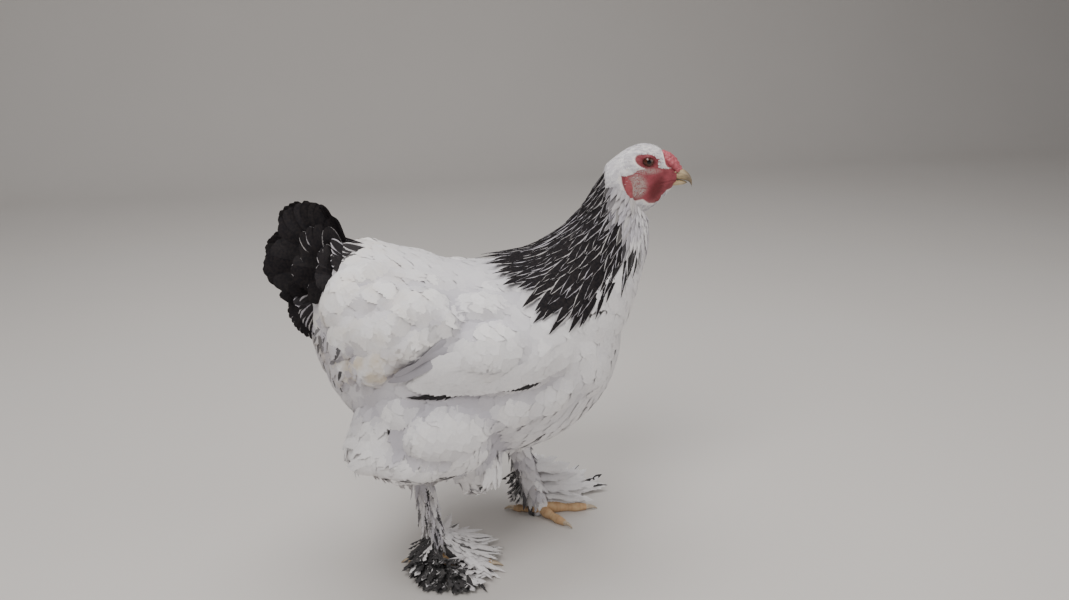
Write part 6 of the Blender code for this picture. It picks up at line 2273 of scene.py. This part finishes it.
def foot_coat(name, kinds, material):
    """The fan of long feathers over the outer toe, and down the outer side of the foot."""
    rng = np.random.default_rng(71)
    leg = LEGS[name]
    heading = math.radians(leg["heading"])
    ahead = np.array([math.cos(heading), math.sin(heading), 0.0])
    outward = leg["side"] * np.array([-math.sin(heading), math.cos(heading), 0.0])
    upright = np.array([0.0, 0.0, 1.0])
    base = np.array([*leg["foot"], 0.0])
    ridge = smooth_rows([base + a * ahead + o * outward + z * upright for a, o, z in FOOT_RIDGE], 6)
    places = np.linspace(0, 1, len(ridge))
    hock, joint = leg_line(name)
    coat = Coat(f"foot_plumage_{name}", FOOT_SOFTNESS[name])

    def outwards(turn):
        return np.cos(turn)[:, None] * ahead + np.sin(turn)[:, None] * outward

    def on_leg(height, away):
        along_leg = (hock[2] - height) / (hock[2] - joint[2])
        return hock + np.reshape(along_leg, (-1, 1)) * (joint - hock) + 0.005 * away

    def add_tier(tier, kind, turn, share, roots, reach_out, tip_height, width):
        count = len(turn)
        away = outwards(turn)
        rise = tip_height + rng.uniform(-0.002, 0.003, count) - roots[:, 2]
        directions = unit(away * reach_out[:, None] + upright * rise[:, None])
        droop = rng.uniform(-0.06, 0.10, count)
        across = np.cross(away, upright)
        lines = straight_feathers(roots, directions, across, reach_out, droop, FOOT_ROLL[name])
        spines, sides, normals = lines
        bend = rng.uniform(-0.22, 0.22, count) * reach_out
        spines = spines + (bend[:, None] * STATIONS ** 2)[..., None] * sides
        dark, extent = foot_marks(name, np.degrees(turn), rng.random(count), rng)
        bake = np.stack([0.05 + 0.9 * np.clip(share, 0, 1), np.full(count, 0.06 + 0.08 * tier)], axis=1)
        widths = width * varied(rng, count, 0.15)
        mark = marks(count, dark, extent, 0.06, 0.3 * rng.random(count))
        add_laid(coat, kinds[kind], rng, spines, sides, normals, widths, mark, bake, camber=0.14)

    for tier, (count, kind, width, along, angles, lengths, tip_height) in enumerate(FOOT_TIERS[name]):
        share = (np.arange(count) + rng.uniform(-0.35, 0.35, count)) / (count - 1)
        place = np.interp(share, (0, 1), along)
        turn = np.radians(between(angles, share) + rng.uniform(-9, 9, count))
        reach_out = between(lengths, share) * varied(rng, count, 0.20, 0.10)
        roots = np.stack([np.interp(place, places, ridge[:, axis]) for axis in range(3)], axis=1)
        add_tier(tier, kind, turn, share, roots, reach_out, tip_height, width)
    for tier, (count, kind, heights, angles, lengths, tip_height, width) in enumerate(INSTEP_TIERS[name]):
        share = (np.arange(count) + rng.uniform(-0.35, 0.35, count)) / (count - 1)
        turn = np.radians(between(angles, share) + rng.uniform(-4, 4, count))
        roots = on_leg(np.interp(share, (0, 1), heights), outwards(turn))
        reach_out = between(lengths, share) * varied(rng, count, 0.12, 0.06)
        add_tier(tier + FIRST_INSTEP_TIER, kind, turn, share, roots, reach_out, tip_height, width)
    if name == "left":
        for tier, (count, kind, height, length, tip_height, width) in enumerate(HIND_TIERS):
            share = rng.random(count)
            turn = np.radians(135 + 80 * share)
            roots = on_leg(height, outwards(turn))
            reach_out = length * rng.uniform(0.7, 1.1, count)
            add_tier(tier + FIRST_HIND_TIER, kind, turn, share, roots, reach_out, tip_height, width)
    coat.finish(material, (f"foot_feathers_{name}",), FOOT_CLEARANCE)


# Studio

# Lights: name, place, what they aim at, size, power and colour
LIGHTS = (
    ("key light", (-0.70, -1.00, 1.80), (0, 0, 0.22), 1.0, 25.0, (1.0, 0.975, 0.95)),
    ("fill light", (1.50, -0.90, 0.90), (0, 0, 0.22), 1.6, 11.0, (1.0, 0.97, 0.94)),
    ("top light", (-0.05, 0.25, 1.90), (0, 0, 0.25), 1.1, 20.0, (1.0, 0.985, 0.975)),
)
WORLD_COLOUR = (0.86, 0.85, 0.86, 1.0)
WORLD_STRENGTH = 0.29
FLOOR_HALF_WIDTH = 14.0
WALL_START = 1.9
WALL_BEND = 0.7
WALL_HEIGHT = 3.2


def make_floor():
    """A pale floor that curves up into a wall far behind the bird."""
    turn = np.linspace(0, math.pi / 2, 14)
    profile = [(-FLOOR_HALF_WIDTH, 0.0)]
    profile += [(WALL_START + WALL_BEND * math.sin(a), WALL_BEND - WALL_BEND * math.cos(a)) for a in turn]
    profile.append((WALL_START + WALL_BEND, WALL_HEIGHT))
    verts = [(x, y, z) for y, z in profile for x in (-FLOOR_HALF_WIDTH, FLOOR_HALF_WIDTH)]
    faces = []
    for k in range(0, 2 * len(profile) - 2, 2):
        faces += [(k, k + 1, k + 3), (k, k + 3, k + 2)]
    floor = mesh_object("studio_floor", np.array(verts), np.array(faces), floor_material())


def add_light(name, place, aim, size, power, colour):
    """A round lamp of this size that shines from its place towards the aim."""
    light = bpy.data.lights.new(name, "AREA")
    light.shape = "DISK"
    light.size = size
    light.energy = power
    light.color = colour
    obj = bpy.data.objects.new(name, light)
    obj.location = place
    obj.rotation_mode = "QUATERNION"
    obj.rotation_quaternion = (Vector(aim) - Vector(place)).to_track_quat("-Z", "Y")
    bpy.context.scene.collection.objects.link(obj)


def make_studio():
    """The floor, the lights, the world's light and the camera."""
    make_floor()
    for light in LIGHTS:
        add_light(*light)
    world = bpy.data.worlds.new("studio")
    world.use_nodes = True
    background = world.node_tree.nodes["Background"]
    background.inputs["Color"].default_value = WORLD_COLOUR
    background.inputs["Strength"].default_value = WORLD_STRENGTH
    bpy.context.scene.world = world
    camera = bpy.data.objects.new("camera", bpy.data.cameras.new("camera"))
    camera.data.lens = CAMERA_LENS
    camera.data.sensor_width = SENSOR_WIDTH
    camera.data.clip_start = 0.02
    camera.data.clip_end = 40.0
    camera.location = CAMERA_PLACE
    camera.rotation_mode = "QUATERNION"
    camera.rotation_quaternion = Vector(CAMERA_AIM).to_track_quat("-Z", "Y")
    bpy.context.scene.collection.objects.link(camera)
    bpy.context.scene.camera = camera


def main():
    feather = plumage_material("plumage")
    hackle_feather = plumage_material("hackle plumage", 0.80, 0.0, 0.12, EDGE_GREY)
    black_feather = plumage_material("tail plumage", 0.75, 0.0, 0.10, EDGE_GREY)
    kinds = feather_kinds()
    head = head_form()
    make_skin(head, skin_material())
    whole = merged(body_shapes())
    guide = Guide(remeshed(whole, GUIDE_VOXEL, 6))
    # A smoother surface, against which the hollows between the lobes take painted shade
    broad = Guide(remeshed(whole, BROAD_VOXEL, 30))
    body_coats(guide, broad, kinds, feather)
    fringe(guide, broad, kinds, feather)
    hackle(guide, kinds, hackle_feather, feather)
    for name, side in (("left", 1), ("right", -1)):
        wing_coat(name, side, guide, kinds, feather)
    tail_coat(kinds, black_feather)
    head_coat(head, kinds, feather)
    face_pieces()
    toe_skin = toe_material()
    claw_horn = horn_material("claw horn", CLAW_HORN, 0.5)
    for name in LEGS:
        foot_pieces(name, toe_skin, claw_horn)
        shank_coat(name, kinds, feather)
        foot_coat(name, kinds, feather)
    make_studio()


main()
